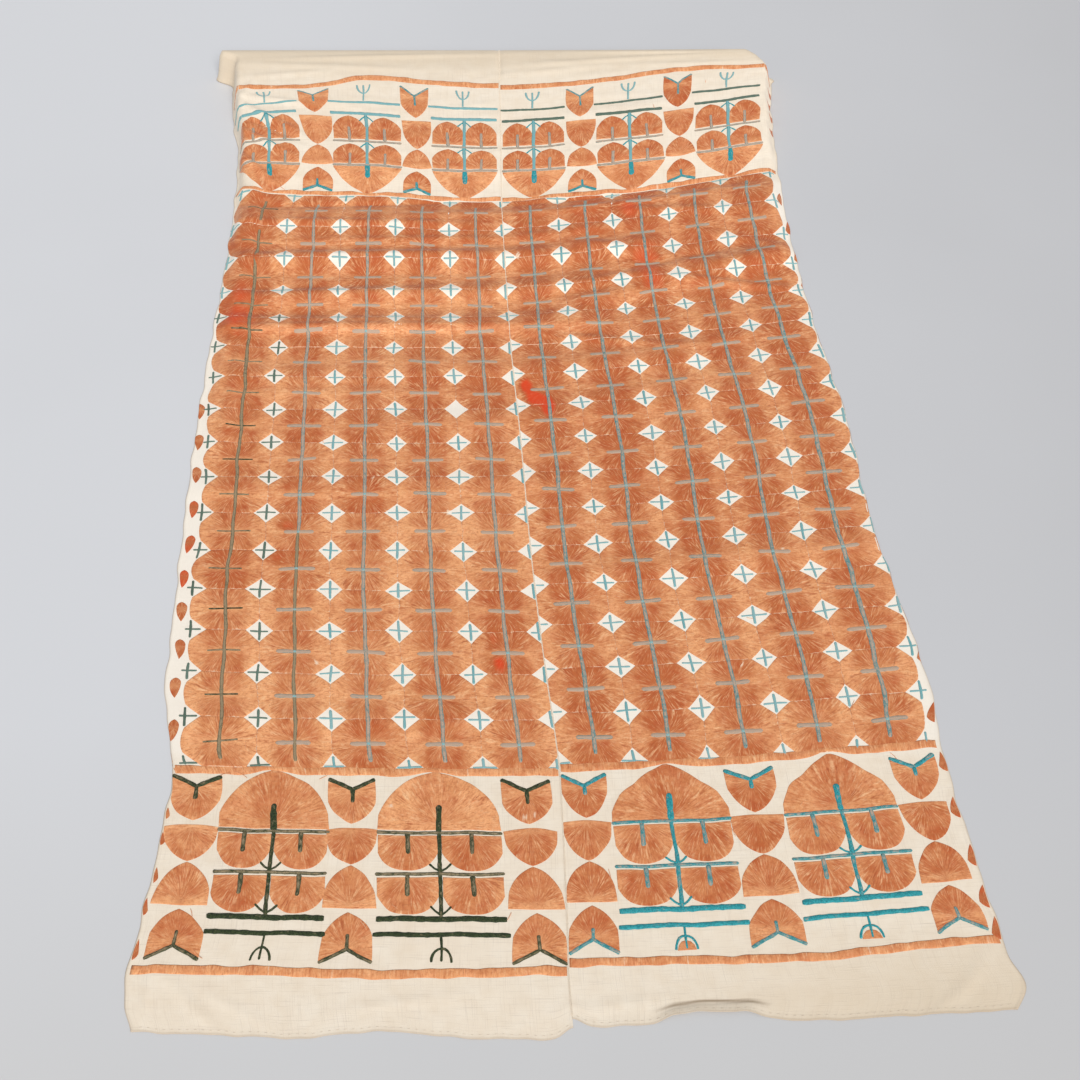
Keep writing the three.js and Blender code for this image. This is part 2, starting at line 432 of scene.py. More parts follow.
def make_cloth(side):
    """One loom width: an upper and an under face over one grid, which share their outer edge. Near that
    edge both close in along a quarter circle, so that the edge is round. The seam's edge is sharper."""
    near = NEAR_END[side]
    near_stops = (near, 0.06), (near + 0.12, 0.25), (near + 1.4, 0.4)
    across, along = np.meshgrid(steps(*ACROSS_STOPS), steps(*near_stops, *ALONG_STOPS))
    to_outer_edge = np.minimum(WIDTH - across, np.minimum(along - near, FAR_END - along))
    to_edge = np.minimum(across * (EDGE_ROUND / SEAM_EDGE_ROUND), to_outer_edge)
    half = cloth_thickness(side, across, along) / 2
    open_share = quarter_circle(to_edge / EDGE_ROUND)
    layers = []
    for way in (1, -1):
        lift = CLOTH_THICKNESS / 2 + way * open_share * half
        lift = lift + (half - CLOTH_THICKNESS / 2) * open_share
        point = LIE[side].at(across, along, lift)
        point[..., 2] = np.maximum(point[..., 2], FLOOR_GAP * MM * 0.5)
        layers.append(point)
    rows, columns = across.shape
    upper = np.arange(rows * columns).reshape(rows, columns)
    under = upper.copy()
    under[1:-1, 1:-1] = rows * columns + np.arange((rows - 2) * (columns - 2)).reshape(rows - 2, -1)
    points = np.concatenate([layers[0].reshape(-1, 3), layers[1][1:-1, 1:-1].reshape(-1, 3)])
    flat = np.stack([side * across, along, np.zeros_like(across)], axis=-1)
    reverse = flat + [0, 0, 1]
    thread = np.concatenate([flat.reshape(-1, 3), reverse[1:-1, 1:-1].reshape(-1, 3)])
    quads = np.concatenate([grid_quads(upper), grid_quads(under)[:, ::-1]])
    # Painted shade: the outer edges are darkened over the highlight their rounding catches, and on the right
    # width so is the crease of the turned-up edge, as its shadow.
    painted_shade = EDGE_PAINTED_SHADE["most"] * smooth(1 - to_outer_edge / EDGE_PAINTED_SHADE["reach"])
    if side > 0:
        t = TURNED_EDGE
        line = t["line"] - 0.05 * np.abs(across - (t["start"] + t["stop"]) / 2)
        in_fold = between(across, t["start"], t["stop"], t["end"])
        painted_shade = np.maximum(painted_shade, in_fold * bell((along - line) / 0.5))
    painted_shade = np.concatenate([painted_shade.ravel(), painted_shade[1:-1, 1:-1].ravel()])
    cloth = Bundle()
    cloth.add(points, quads, thread=thread, shade=painted_shade)
    return cloth.piece(f"{SIDES[side]}_cloth", "cotton_cloth")


# ------------------------------------------------------------------------- gathering the meshes


def grid_quads(index):
    """The quads between the rows and columns of a grid of vertex numbers."""
    corners = [index[:-1, :-1], index[:-1, 1:], index[1:, 1:], index[1:, :-1]]
    return np.stack(corners, axis=-1).reshape(-1, 4)


def closed_quads(rings, n):
    """The skin over rings of n points each, one after another, closed by the two points that follow them:
    a pole for the first ring and a pole for the last."""
    index = np.arange(rings * n).reshape(rings, n)
    wrapped = np.concatenate([index, index[:, :1]], axis=1)
    skin = [grid_quads(wrapped)]
    for pole, ring in ((rings * n, wrapped[0][::-1]), (rings * n + 1, wrapped[-1])):
        skin.append(np.stack([ring[:-1], ring[1:], np.full(n, pole), np.full(n, pole)], axis=-1))
    return np.concatenate(skin)


def place_object(name, data):
    """A new object in the scene, at the origin."""
    placed = bpy.data.objects.new(name, data)
    bpy.context.scene.collection.objects.link(placed)
    return placed


class Bundle:
    """Closed shapes gathered into one mesh, with numbers that follow each of their points."""

    VALUES = {"thread": 3, "shade": 1, "fade": 1}

    def __init__(self):
        self.points, self.quads, self.values = [], [], {name: [] for name in self.VALUES}
        self.count = 0

    def add(self, points, quads, **values):
        """Adds one closed shape. Its faces are turned round if they enclose less than nothing. A quad
        whose last two corners are the same is a triangle."""
        middle = points.mean(axis=0)
        a, b, c, d = (points[quads[:, k]] - middle for k in range(4))
        volume = (np.cross(a, b) * c).sum() + (np.cross(a, c) * d).sum()
        self.points.append(points)
        self.quads.append((quads if volume > 0 else quads[:, ::-1]) + self.count)
        for name, size in self.VALUES.items():
            value = np.broadcast_to(values.get(name, 0.0), (len(points), size) if size > 1 else len(points))
            self.values[name].append(value)
        self.count += len(points)

    def piece(self, name, slot):
        """The finished object, in the material of its slot. It rides on the shawl's one body."""
        points, quads = np.concatenate(self.points), np.concatenate(self.quads)
        faces = [list(dict.fromkeys(face)) for face in quads.tolist()]
        mesh = bpy.data.meshes.new(name)
        mesh.from_pydata(points.tolist(), [], faces)
        mesh.polygons.foreach_set("use_smooth", np.ones(len(faces), bool))
        for label, size in self.VALUES.items():
            kind, field = ("FLOAT_VECTOR", "vector") if size == 3 else ("FLOAT", "value")
            data = mesh.attributes.new(label, kind, "POINT").data
            data.foreach_set(field, np.concatenate(self.values[label]).astype(np.float32).ravel())
        mesh.materials.append(MATERIALS[slot])
        mesh.update()
        piece = place_object(name, mesh)
        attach(piece, "root")
        return piece


# ------------------------------------------------------------------------------- the embroidery

# Heights over the cloth, and how deep a fan and a line are sunk into it (mm).
FLOSS_RISE = 0.5
LINE_RISE = 0.95
FAN_SINK = 0.25
LINE_SINK = 0.2
ROUGH_RISE = 0.6         # more for the lines, where the field is rippled

FAN_SHADE = 0.26         # of a patch of floss, before what makes it darker or redder
RIGHT_SHADE = 0.1        # more on the right width
PATTERN_MARGIN = 0.06    # how near the pattern may come to the cloth's own edges (cm)

# How far the hand-counted pattern stands off its even places (cm): along the shawl, at places across,
# in the near part and at three places in the far border; and the share by which it widens.
NEAR_SHIFT = {
    -1: table("at shift", (0, -0.2), (20, -0.1), (34, 0), (46, 0.2), (60, 0.6), (WIDTH, 0.7)),
    1: table("at shift", (0, 0), (18, 0), (30, 0.05), (45, 0.5), (60, 1.0), (WIDTH, 1.1)),
}
NEAR_SHIFT_END = 105
NEAR_SHIFT_FADE = 60
FAR_SHIFT_START = 160
SAG = {"by": 1.2, "at": 161, "reach": 17}      # rows of the field that lie nearer than they should
FAR_SHIFT_PLACES = (189, 214, 225)
FAR_SHIFT = {
    -1: table(
        "at low middle high",
        (0, 0.2, 0.5, -0.2), (9, 0.3, 0.8, 0), (17, 0.6, 1.3, 0.8), (24, 1.5, 1.8, 1.9), (32, 2.0, 2.7, 2.5),
        (41, 2.0, 3.4, 0.1), (49, 2.2, 3.7, -1.0), (56, 2.7, 3.0, -0.9), (WIDTH, 3.0, 1.4, -1.0),
    ),
    1: table(
        "at low middle high",
        (0, 0.2, 0, -0.8), (12, 0.2, 0, -0.8), (25, 0.1, 0, 0), (37, 0, 0.2, 1.9), (45, 0.3, 0.4, 2.5),
        (50, 0.5, 0.5, 2.3), (57, 0.8, 0.8, 1.5), (WIDTH, 0.8, 0.8, 1.3),
    ),
}
WIDENING = {
    -1: table(
        "at share",
        (41, 0), (44, 0.016), (47.5, 0.011), (52, -0.004), (61, -0.012), (70, -0.009), (79, 0), (95, -0.008),
        (140, 0.008), (180, 0.026), (189, 0),
    ),
    1: table("at share", (41, 0), (50, -0.008), (95, 0.013), (140, 0.008), (180, -0.016), (189, 0)),
}
# How far the outermost column stands further out (cm), at places along.
OUTER_SHIFT = {
    -1: table("at shift", (100, 0), (135, 1.0), (170, 1.0), (189, 0)),
    1: table("at shift", (43, 0), (62, 1.3), (88, 1.5), (110, 0.9), (150, 1.1), (172, 1.0), (189, 0)),
}


def hand_drift(side, across, along):
    """The pattern as it was counted by hand, a little off (cm). The near shift fades out along the shawl,
    the far one comes in, and between its three places it changes in straight lines."""
    shift = read(NEAR_SHIFT[side], "shift", across) * smooth((NEAR_SHIFT_END - along) / NEAR_SHIFT_FADE)
    low, middle, high = (read(FAR_SHIFT[side], name, across) for name in ("low", "middle", "high"))
    first, second, third = FAR_SHIFT_PLACES
    shift = shift + low * smooth((along - FAR_SHIFT_START) / (first - FAR_SHIFT_START))
    shift = shift - SAG["by"] * bell((along - SAG["at"]) / SAG["reach"])
    shift = shift + (middle - low) * np.clip((along - first) / (second - first), 0, 1)
    shift = shift + (high - middle) * np.clip((along - second) / (third - second), 0, 1)
    outward = read(OUTER_SHIFT[side], "shift", along) * smooth((across - 52) / 10)
    uneven = wobble(along + 2 * across, SEED["drift across"] + side, 15, 0.13) * smooth(across / 6)
    uneven_along = wobble(across + 0.7 * along, SEED["drift along"] + side, 13, 0.12)
    across = across + across * read(WIDENING[side], "share", along) + uneven + outward
    return across, along + shift + uneven_along


def on_cloth(side, points, lift):
    """Places of the pattern, lifted off the cloth's upper face along its normal by `lift` (mm)."""
    across, along = hand_drift(side, points[..., 0], points[..., 1])
    across = np.clip(across, PATTERN_MARGIN, WIDTH - PATTERN_MARGIN)
    return LIE[side].at(across, along, cloth_thickness(side, across, along) + lift)


def curved_outline(corners, bulges, step=0.7):
    """A closed outline through the corners. Each side bows out by its bulge, a share of its length, along
    a parabola. Positive bows to the right of the way round."""
    corners = np.array(corners, float)
    sides = []
    for a, b, bulge in zip(corners, np.roll(corners, -1, axis=0), bulges):
        run = b - a
        length = np.hypot(*run)
        q = np.linspace(0, 1, max(2, math.ceil(length / step)), endpoint=False)[:, None]
        out = np.array([run[1], -run[0]]) * bulge
        sides.append(a + run * q + 4 * q * (1 - q) * out)
    return np.concatenate(sides)


# The rippled part of the field: its start and stop along, and where the outermost left column begins.
RIPPLED = {"start": 138, "stop": 190, "outer column": 48}


def rough_ground(side, across, along):
    """Where the field is rippled, and its floss stands higher, from 0 to 1."""
    outer = smooth((across - RIPPLED["outer column"]) / 2) if side < 0 else 0.0
    rippled = np.maximum(smooth((along - RIPPLED["start"]) / 3), outer)
    return rippled * smooth((RIPPLED["stop"] - along) / 3)


def add_fan(
    bundle, side, outline, hub, seed, stem=None, tone=0.0, turn=0.4, step=0.8, rise=FLOSS_RISE, edge_wear=0.3
):
    """A patch of floss stitches that fan out from a stem. Rings run from the hub to the outline over the
    upper face, and back over the under face. The upper face stands `rise` above the cloth and comes down
    to it in the outer rings, where it is worn by `edge_wear`, one share or one a point. Threads that run
    along the stem are painted darker by `turn`: painted sheen, as silk shines differently with the way
    its threads run."""
    hub = np.array(hub, float)
    stem = np.array(stem if stem is not None else (hub, hub), float)
    reach = np.hypot(*(outline - hub).T).max()
    inner = np.linspace(0, 1, max(3, math.ceil(reach / step)) + 1)[1:-1]
    rings = np.concatenate([inner, [1 - 0.2 / reach, 1 - 0.04 / reach, 1.0]])
    crown = np.concatenate([np.full(len(inner), rise), [rise * 0.92, rise * 0.6, 0.12]])
    q = np.concatenate([rings, rings[-3::-1]])[:, None, None]
    under = len(rings) - 2
    lift = np.concatenate([crown, np.full(under, -FAN_SINK)])
    flat = hub + (outline - hub) * q
    n = len(outline)
    flat_points = np.concatenate([flat.reshape(-1, 2), [hub, hub]])
    lifts = np.concatenate([np.repeat(lift, n), [rise, -FAN_SINK]])
    points = on_cloth(side, flat_points, lifts)
    worn = np.zeros((len(q), n))
    worn[len(rings) - 3 : len(rings)] = np.array([[0.4], [1], [1]]) * edge_wear
    worn = wear_at(side, flat_points) + np.append(worn, [0, 0])
    thread, turned = fan_threads(flat_points, stem, seed)
    uneven = np.random.default_rng(seed).normal(0, 0.08)
    # Painted sheen: turn * turned darkens threads that run along the stem, as silk shines differently with
    # the way its threads run.
    shade = FAN_SHADE + turn * turned + tone + uneven + special_shade(side, flat_points)
    bundle.add(points, closed_quads(len(q), n), thread=thread, shade=shade, fade=worn)


def fan_threads(points, stem, seed):
    """For points round a stem: how far across the threads and how far along them each lies, with the
    patch's own number; and how much painted shade its threads get, from 0 to 1, which is most beside the
    line of the stem, above and below its ends. It is painted sheen: silk shines differently with the way
    its threads run."""
    low, high = stem
    way = high - low
    length = np.hypot(*way)
    way = way / length if length > 1e-6 else np.array([0.0, 1.0])
    off = points - low
    run = off @ way
    aside = off @ np.array([way[1], -way[0]])
    beyond = run - np.clip(run, 0, length)
    angle = np.arctan2(np.abs(beyond), np.abs(aside) + 1e-6)
    across = np.clip(run, 0, length) + np.sign(beyond) * angle * 4.0
    along = np.hypot(beyond, aside)
    number = seed * 7.31 % 97 + 0.35 * aside + 0.4 * np.sign(beyond) * angle
    turned = smooth((4.9 - np.abs(aside)) / 2.6) * smooth(np.abs(beyond) / 1.3)
    return np.stack([across, along, number], axis=-1), turned


# Places where the floss is redder than the rest, and where it has worn away.
RED_SPOTS = table(
    "side across along reach_across reach_along strength",
    (1, 2.2, 129.6, 1.9, 3.4, 2.6),
    (1, 3.6, 126.2, 2.6, 3.2, 2.6),
    (1, 6.0, 124.0, 1.8, 4.4, 2.6),
    (-1, 7.8, 63.0, 1.6, 3.0, 1.4),
    (-1, 8.4, 68.4, 1.6, 3.0, 0.5),
    (-1, 60.0, 156.0, 9.0, 13.0, 0.75),
    (-1, 58.5, 148.0, 7.0, 7.0, 0.75),
    (-1, 60.0, 172.0, 6.0, 7.0, 0.5),
    (1, 31.0, 165.0, 6.0, 7.0, 0.7),
    (1, 32.0, 158.0, 4.0, 6.0, 0.7),
    (1, 28.0, 181.0, 5.0, 6.0, 0.8),
    (-1, 47.5, 86.0, 3.0, 3.0, 0.9),
    (-1, 45.5, 93.5, 3.0, 2.4, 0.7),
)
WORN_SPOTS = table(
    "side across along reach_across reach_along",
    (-1, 6.2, 34.2, 1.0, 1.6),
    (-1, 4.4, 34.6, 0.7, 1.5),
    (-1, 28.0, 36.0, 1.2, 1.0),
    (-1, 39.6, 63.2, 0.8, 2.0),
    (-1, 27.3, 63.2, 0.6, 1.0),
    (1, 33.8, 61.2, 0.6, 1.8),
    (1, 3.0, 169.0, 0.8, 2.6),
    (-1, 15.0, 96.6, 0.6, 2.0),
    (-1, 29.6, 104.6, 0.6, 1.0),
    (1, 29.8, 77.6, 0.4, 1.6),
    (1, 46.0, 84.8, 0.5, 1.4),
)


def spots(side, points, rows):
    """The sum of oval spots: each a bell of the distance from its middle, in its own reaches."""
    total = np.zeros(len(points))
    for spot in each(rows):
        if spot["side"] == side:
            dx = (points[:, 0] - spot["across"]) / spot["reach_across"]
            dy = (points[:, 1] - spot["along"]) / spot["reach_along"]
            total += bell(np.hypot(dx, dy)) * spot.get("strength", 1)
    return total


def special_shade(side, points):
    """How much redder the floss is: at its red spots, and over the whole right width."""
    return spots(side, points, RED_SPOTS) + (RIGHT_SHADE if side > 0 else 0.0)


def wear_at(side, points):
    """How worn the floss is, from 0 to 1."""
    return np.clip(spots(side, points, WORN_SPOTS), 0, 1)


# The section of a stitched line: shares of its half width across and of its height. Below 0 it is sunk.
LINE_SECTION = table(
    "across lift", (-1, 0.15), (-0.72, 0.8), (0, 1.0), (0.72, 0.8), (1, 0.15), (0.5, -1), (-0.5, -1)
)


def add_line(bundle, side, path, width, seed, fade=0.2, ends=0.35, rise=LINE_RISE, step=0.6):
    """A stitched line along a path: a rounded section of that width, carried along the path, that grows
    narrower over its last half width. `ends` is the share of the width left at each end."""
    path = np.array(path, float)
    legs = np.hypot(*np.diff(path, axis=0).T)
    at = np.concatenate([[0], np.cumsum(legs)])
    count = max(4, math.ceil(at[-1] / step) + 1)
    q = np.linspace(0, at[-1], count)
    q = np.unique(np.concatenate([q, [0.3 * width, at[-1] - 0.3 * width], at]))
    q = q[np.concatenate([[True], np.diff(q) > 0.04])]
    q[-1] = at[-1]
    middle = np.stack([np.interp(q, at, path[:, k]) for k in (0, 1)], axis=-1)
    way = np.gradient(middle, q, axis=0)
    way /= np.linalg.norm(way, axis=1, keepdims=True)
    aside = np.stack([way[:, 1], -way[:, 0]], axis=-1)
    full = quarter_circle(np.minimum(q, q[-1] - q) / (0.5 * width))
    half = width / 2 * (ends + (1 - ends) * full)
    half = half * (1 + wobble(q, seed, 2.3, 0.16))
    across, lift = LINE_SECTION["across"], LINE_SECTION["lift"]
    place = half[:, None] * across
    flat = middle[:, None] + aside[:, None] * place[..., None]
    height = rise + ROUGH_RISE * rough_ground(side, *middle.T)[:, None]
    height = np.where(lift > 0, lift * height, -LINE_SINK)
    height = height * (0.55 + 0.45 * full)[:, None]
    n = len(across)
    flat_points = np.concatenate([flat.reshape(-1, 2), middle[[0, -1]]])
    lifts = np.append(height.ravel(), [rise * 0.4, rise * 0.4])
    points = on_cloth(side, flat_points, lifts)
    number = np.full(len(points), seed * 3.17 % 89)
    thread = np.stack([np.append(place, [0, 0]), np.append(np.repeat(q, n), [0, q[-1]]), number], axis=-1)
    core = 1 - np.append(np.tile(np.abs(across), len(q)), [1, 1])
    bundle.add(points, closed_quads(len(q), n), thread=thread, shade=core, fade=fade)


# ---- the field: diamonds left open in the floss, a cross in each, and stems with bars between them

FIELD_START = {-1: 43.0, 1: 44.3}
ROW_PITCH = {-1: 8.92, 1: 8.87}
FIRST_ROW_MORE = {-1: 0.35, 1: 0.9}
LAST_ROW_MORE = {-1: 1.7, 1: 1.2}
ROWS = 16
COLUMNS = 5
COLUMN_AT = {-1: (0, 12.4, 24.7, 37.0, 49.4, 61.6), 1: (0, 12.65, 25.3, 37.95, 50.6, 62.3)}
DIAMOND = {"across": 2.45, "along": 2.3, "curve": 0.96, "uneven": 0.07}
CELL_GAP = 0.015
RIPPLED_ROW = 11         # from this row on the cells lie on rippled cloth
DARK_CROSS_ROWS = 13     # the outer left crosses of these first rows are of dark floss
STEM = {"width": 0.78, "rise": 1.15, "ends": 0.7}
STEM_FADE = {-1: 0.6, 1: 0.48}
OUTER_STEM_FADE = 0.64
KNOT = {"half": 0.375, "width": 0.7, "share": 0.75}          # share of the hubs that have one
BARE_DIAMOND = (-1, 1, 9)          # side, column and row of the diamond with no cross


def field_diamonds(side):
    """The middle and the half sizes of every diamond, by row and column, a little uneven."""
    rng = np.random.default_rng(SEED["diamonds"] + side)
    row = np.arange(ROWS + 1)[:, None] + np.zeros(COLUMNS + 1)
    across = np.zeros_like(row) + COLUMN_AT[side]
    along = FIELD_START[side] + row * ROW_PITCH[side] + np.where(row == ROWS, LAST_ROW_MORE[side], 0)
    middle = np.stack([across, along], axis=-1)
    inside = (across > 0)[..., None] * np.array([0.11, 0.0]) + [0.0, 0.12]
    middle = middle + rng.normal(size=middle.shape) * inside * (row < ROWS)[..., None] * (row > 0)[..., None]
    uneven = 1 + DIAMOND["uneven"] * rng.normal(size=middle.shape)
    size = np.array([DIAMOND["across"], DIAMOND["along"]]) * uneven
    middle[0, :, 1] -= FIRST_ROW_MORE[side]
    size[0, :, 1] += 0.6 * FIRST_ROW_MORE[side]
    return middle, size


def notch(middle, size, start):
    """A quarter of a diamond's outline, from one tip to the next: (|x|/a)^p + (|y|/b)^p = 1, where p is
    the diamond's curve. It starts at an angle in degrees."""
    angle = math.radians(start) + np.linspace(0, math.pi / 2, 6)
    power = 2 / DIAMOND["curve"]
    x, y = np.cos(angle), np.sin(angle)
    unit = np.stack([np.sign(x) * np.abs(x) ** power, np.sign(y) * np.abs(y) ** power], axis=-1)
    return middle + size * unit


def bowed(a, b, count, bulge):
    """Points between a and b, bowed to the right by a share of the length, without a and b."""
    q = np.linspace(0, 1, count + 2)[1:-1, None]
    run = b - a
    return a + run * q + 4 * q * (1 - q) * np.array([run[1], -run[0]]) * bulge


def cell_outline(middle, size, row, column):
    """The outline of one cell: its four sides, with a quarter diamond cut from each corner. Also its
    middle, and how worn it is at each point: most along the sides that link the diamonds of a row."""
    corners = [(row, column), (row, column + 1), (row + 1, column + 1), (row + 1, column)]
    centre = np.mean([middle[c] for c in corners], axis=0)
    cuts = [notch(middle[c], size[c], 90 * k)[::-1] for k, c in enumerate(corners)]
    outer_bow = 0.09 if column == COLUMNS - 1 else 0.0
    sides = ((6, 0.012, 0.95), (4, outer_bow, 0.6), (6, 0.012, 0.95), (4, 0.012, 0.6))
    loop, wear = [], []
    for cut, following, (count, bow, worn) in zip(cuts, cuts[1:] + cuts[:1], sides):
        loop += [cut, bowed(cut[-1], following[0], count, bow)]
        wear += [np.full(len(cut), 0.35), np.full(count, worn)]
    off = np.concatenate(loop) - centre
    half = np.abs(off).max(axis=0)
    return centre + off * (1 - CELL_GAP / half), centre, np.concatenate(wear)


def add_cells(fans, side, middle, size, rng):
    """A patch of floss for each cell of the field. Returns the hub of each, a little off its middle."""
    hubs = np.zeros((ROWS, COLUMNS, 2))
    for row, column in np.ndindex(ROWS, COLUMNS):
        outline, centre, wear = cell_outline(middle, size, row, column)
        hubs[row, column] = centre + rng.normal(0, 1, 2) * (0.05, 0.1)
        tone = 0.09 * math.sin(row * 0.9 + column) + 0.016 * (row - 6)
        rippled = row >= RIPPLED_ROW or side < 0 and column == COLUMNS - 1
        step, rise = (0.7, FLOSS_RISE * 2.1) if rippled else (1.0, FLOSS_RISE)
        add_fan(
            fans, side, outline, hubs[row, column], SEED["cells"] + row * 17 + column * 5 + side, tone=tone,
            turn=0.54, step=step, rise=rise, edge_wear=wear,
        )
    return hubs


def add_stems(stems, dark, side, hubs, rng):
    """A stem through the hubs of each column, with a bar over every hub and a knot on most. The outermost
    left stem and its thin bars are of dark floss, and so is the near part of the stem beside it."""
    for column in range(COLUMNS):
        outermost = side < 0 and column == COLUMNS - 1
        lines = dark if outermost else stems
        own = hubs[:, column]
        low = (own[0, 0], FIELD_START[side] + 0.9)
        high = (own[-1, 0], FIELD_START[side] + ROWS * ROW_PITCH[side] - 0.6)
        path = [low, *own, high]
        faded = OUTER_STEM_FADE if outermost else STEM_FADE[side]
        look = {"ends": STEM["ends"], "rise": STEM["rise"]}
        if side < 0 and column == COLUMNS - 2:
            add_line(dark, side, path[:7], 0.7, SEED["dark stem"], fade=0.8, **look)
            path = path[6:]
        add_line(lines, side, path, STEM["width"], SEED["stems"] + column, fade=faded, **look)
        for row, hub in enumerate(own):
            left, right = rng.uniform(2.7, 3.5, 2)
            tilt = rng.normal(0, 0.12)
            bar = [hub + (-left, -tilt), hub, hub + (right, tilt)]
            thick, faded = 0.92, STEM_FADE[side] + rng.uniform(0.25, 0.8)
            if outermost:
                thick, faded = 0.42, rng.uniform(0.1, 0.7)
            number = row * 9 + column
            add_line(lines, side, bar, thick, SEED["bars"] + number, fade=faded, ends=0.3, rise=1.0)
            if rng.uniform() < KNOT["share"] and not outermost:
                knot = [hub + (0, -KNOT["half"]), hub + (0, KNOT["half"])]
                look = {"fade": -1.0, "ends": 0.5, "rise": 1.4, "step": 0.3}
                add_line(lines, side, knot, KNOT["width"], SEED["knots"] + number, **look)


def make_field(side):
    """The pieces of the field. They share one run of random numbers, drawn in this order."""
    fans, stems, dark, crosses = Bundle(), Bundle(), Bundle(), Bundle()
    middle, size = field_diamonds(side)
    rng = np.random.default_rng(SEED["field"] + side)
    hubs = add_cells(fans, side, middle, size, rng)
    add_stems(stems, dark, side, hubs, rng)
    for row, column in np.ndindex(ROWS + 1, COLUMNS + 1):
        if (side, column, row) != BARE_DIAMOND:
            outer_left = side < 0 and column >= COLUMNS - 1
            lines = dark if outer_left and row < DARK_CROSS_ROWS else crosses
            add_cross(lines, side, middle[row, column], size[row, column], row, column, rng)
    name = f"{SIDES[side]}_field"
    pieces = [
        fans.piece(f"{name}_fans", "orange_floss"),
        stems.piece(f"{name}_stems", "teal_floss"),
        crosses.piece(f"{name}_crosses", "teal_floss"),
    ]
    if dark.count:
        pieces.append(dark.piece(f"{name}_dark_lines", "green_floss"))
    return pieces


def add_cross(bundle, side, middle, size, row, column, rng):
    """A cross in a diamond: a thicker upright and a thinner bar. At the seam, where two half diamonds
    meet, only the left one has the upright."""
    up, down = rng.uniform(0.72, 0.88, 2) * size[1]
    out, inward = rng.uniform(0.64, 0.82, 2) * size[0]
    up, down = (up if row < ROWS else 0.1), (down if row > 0 else -0.1)
    inward = inward if column > 0 else -0.2
    edge = column == COLUMNS
    out = min(out, 1.0) if edge else out
    tilt = rng.normal(0, 0.05)
    seed = SEED["crosses"] + row * 11 + column
    shift = np.array([0.32 if column == 0 else 0.0, 0.0])
    pale = -rng.uniform(0.6, 1.3)
    if column > 0 or side < 0:
        upright = [middle + shift + (-tilt, -down), middle + shift + (tilt, up)]
        add_line(bundle, side, upright, 0.46, seed, fade=pale, rise=0.6, step=0.5)
    level = 0.4 if row == 0 else (-0.3 if row == ROWS else rng.normal(0, 0.1))
    if column > 0 or side > 0 or row % 3 == 0:
        bar = [middle + (-inward, level - tilt), middle + (out, level + tilt)]
        add_line(bundle, side, bar, 0.34, seed + 1, fade=pale - 0.2, rise=0.5, step=0.5)


# ---- the borders: tall stemmed motifs with columns of small shapes between them

# Middles and half widths across, of the tall motifs and of the columns between them. The motifs of
# the near left border lean outward.
BORDERS = {
    (-1, "near"): {"tall": [(19.6, 10.0), (46.3, 8.9)], "small": [(5.0, 4.1), (33.7, 3.9), (59.5, 4.1)]},
    (1, "near"): {"tall": [(17.6, 9.6), (45.3, 9.4)], "small": [(3.9, 3.7), (31.4, 4.1), (58.9, 3.8)]},
    (-1, "far"): {"tall": [(8.8, 7.9), (32.3, 8.3), (56.0, 7.4)], "small": [(20.3, 3.3), (44.3, 3.6)]},
    (1, "far"): {"tall": [(7.5, 7.2), (29.8, 7.8), (53.0, 7.8)], "small": [(18.5, 3.2), (41.4, 3.3)]},
}
LEAN = {(-1, "near"): 0.06}

# Heights in a border are counted from the near line of its motifs. Where each stands along the shawl:
HEIGHTS = {
    (-1, "near"): table("at along", (8, 8), (45, 45)),
    (1, "near"): table(
        "at along",
        (8, 9.2), (10.4, 11.7), (12.3, 13.8), (14.9, 15.8), (17.3, 18.3), (18.9, 19.8), (24.4, 25.3),
        (26.2, 26.8), (31.4, 32.9), (33, 33.8), (36.3, 37.8), (39.1, 39.7), (41, 41.8), (42.2, 43.1),
        (44, 45),
    ),
    "far": table(
        "at along",
        (8, 226.1), (9.5, 224.2), (10.5, 222.7), (14.8, 216.1), (17.3, 212.2), (17.9, 211.4), (24.5, 203.3),
        (25.2, 202.4), (31.5, 196.2), (41.3, 188.3), (44, 186.2),
    ),
}

# The floss stripes that close each border: where the middle of each is along, at places across, and
# how wide it is.
STRIPE_ENDS = (0.2, 63.9)
STITCHING = 9.0          # length of stitching from one joint of a stripe to the next
DOME_REACH = 6.0         # a stripe gives way to a dome over this width to each side
STRIPES = {
    (-1, "near"): (
        (table("at middle", (0, 9.6), (15, 9.1), (30, 8.85), (45, 9.15), (WIDTH, 8.8)), 1.4),
        (table("at middle", (0, 42.4), (20, 42.1), (35, 42.2), (WIDTH, 41.9)), 1.5),
    ),
    (1, "near"): (
        (table("at middle", (0, 10.5), (12, 10.5), (25, 10.15), (40, 9.8), (50, 10.2), (WIDTH, 10.2)), 1.3),
        (table("at middle", (0, 42.85), (25, 43.15), (45, 43.4), (WIDTH, 43.4)), 1.5),
    ),
    (-1, "far"): (
        (table("at middle", (0, 224.8), (30, 225.0), (WIDTH, 224.9)), 1.8),
        (table("at middle", (0, 188.35), (30, 188.3), (WIDTH, 188.4)), 1.2),
    ),
    (1, "far"): (
        (table("at middle", (0, 224.8), (30, 224.9), (WIDTH, 224.8)), 1.8),
        (table("at middle", (0, 188.1), (45, 188.3), (WIDTH, 188.2)), 1.2),
    ),
}


# Heights of a small column's parts: the shield's corners, notch and foot, the upper half round's top
# and lowest place, the lower one's apex and base, and the tip of the arch.
SMALL_LEVELS = {
    "near": (40.7, 38.8, 33.0, 32.3, 25.95, 25.85, 18.95, 18.4),
    "far": (40.2, 38.4, 32.5, 31.6, 25.65, 25.5, 18.3, 17.5),
}


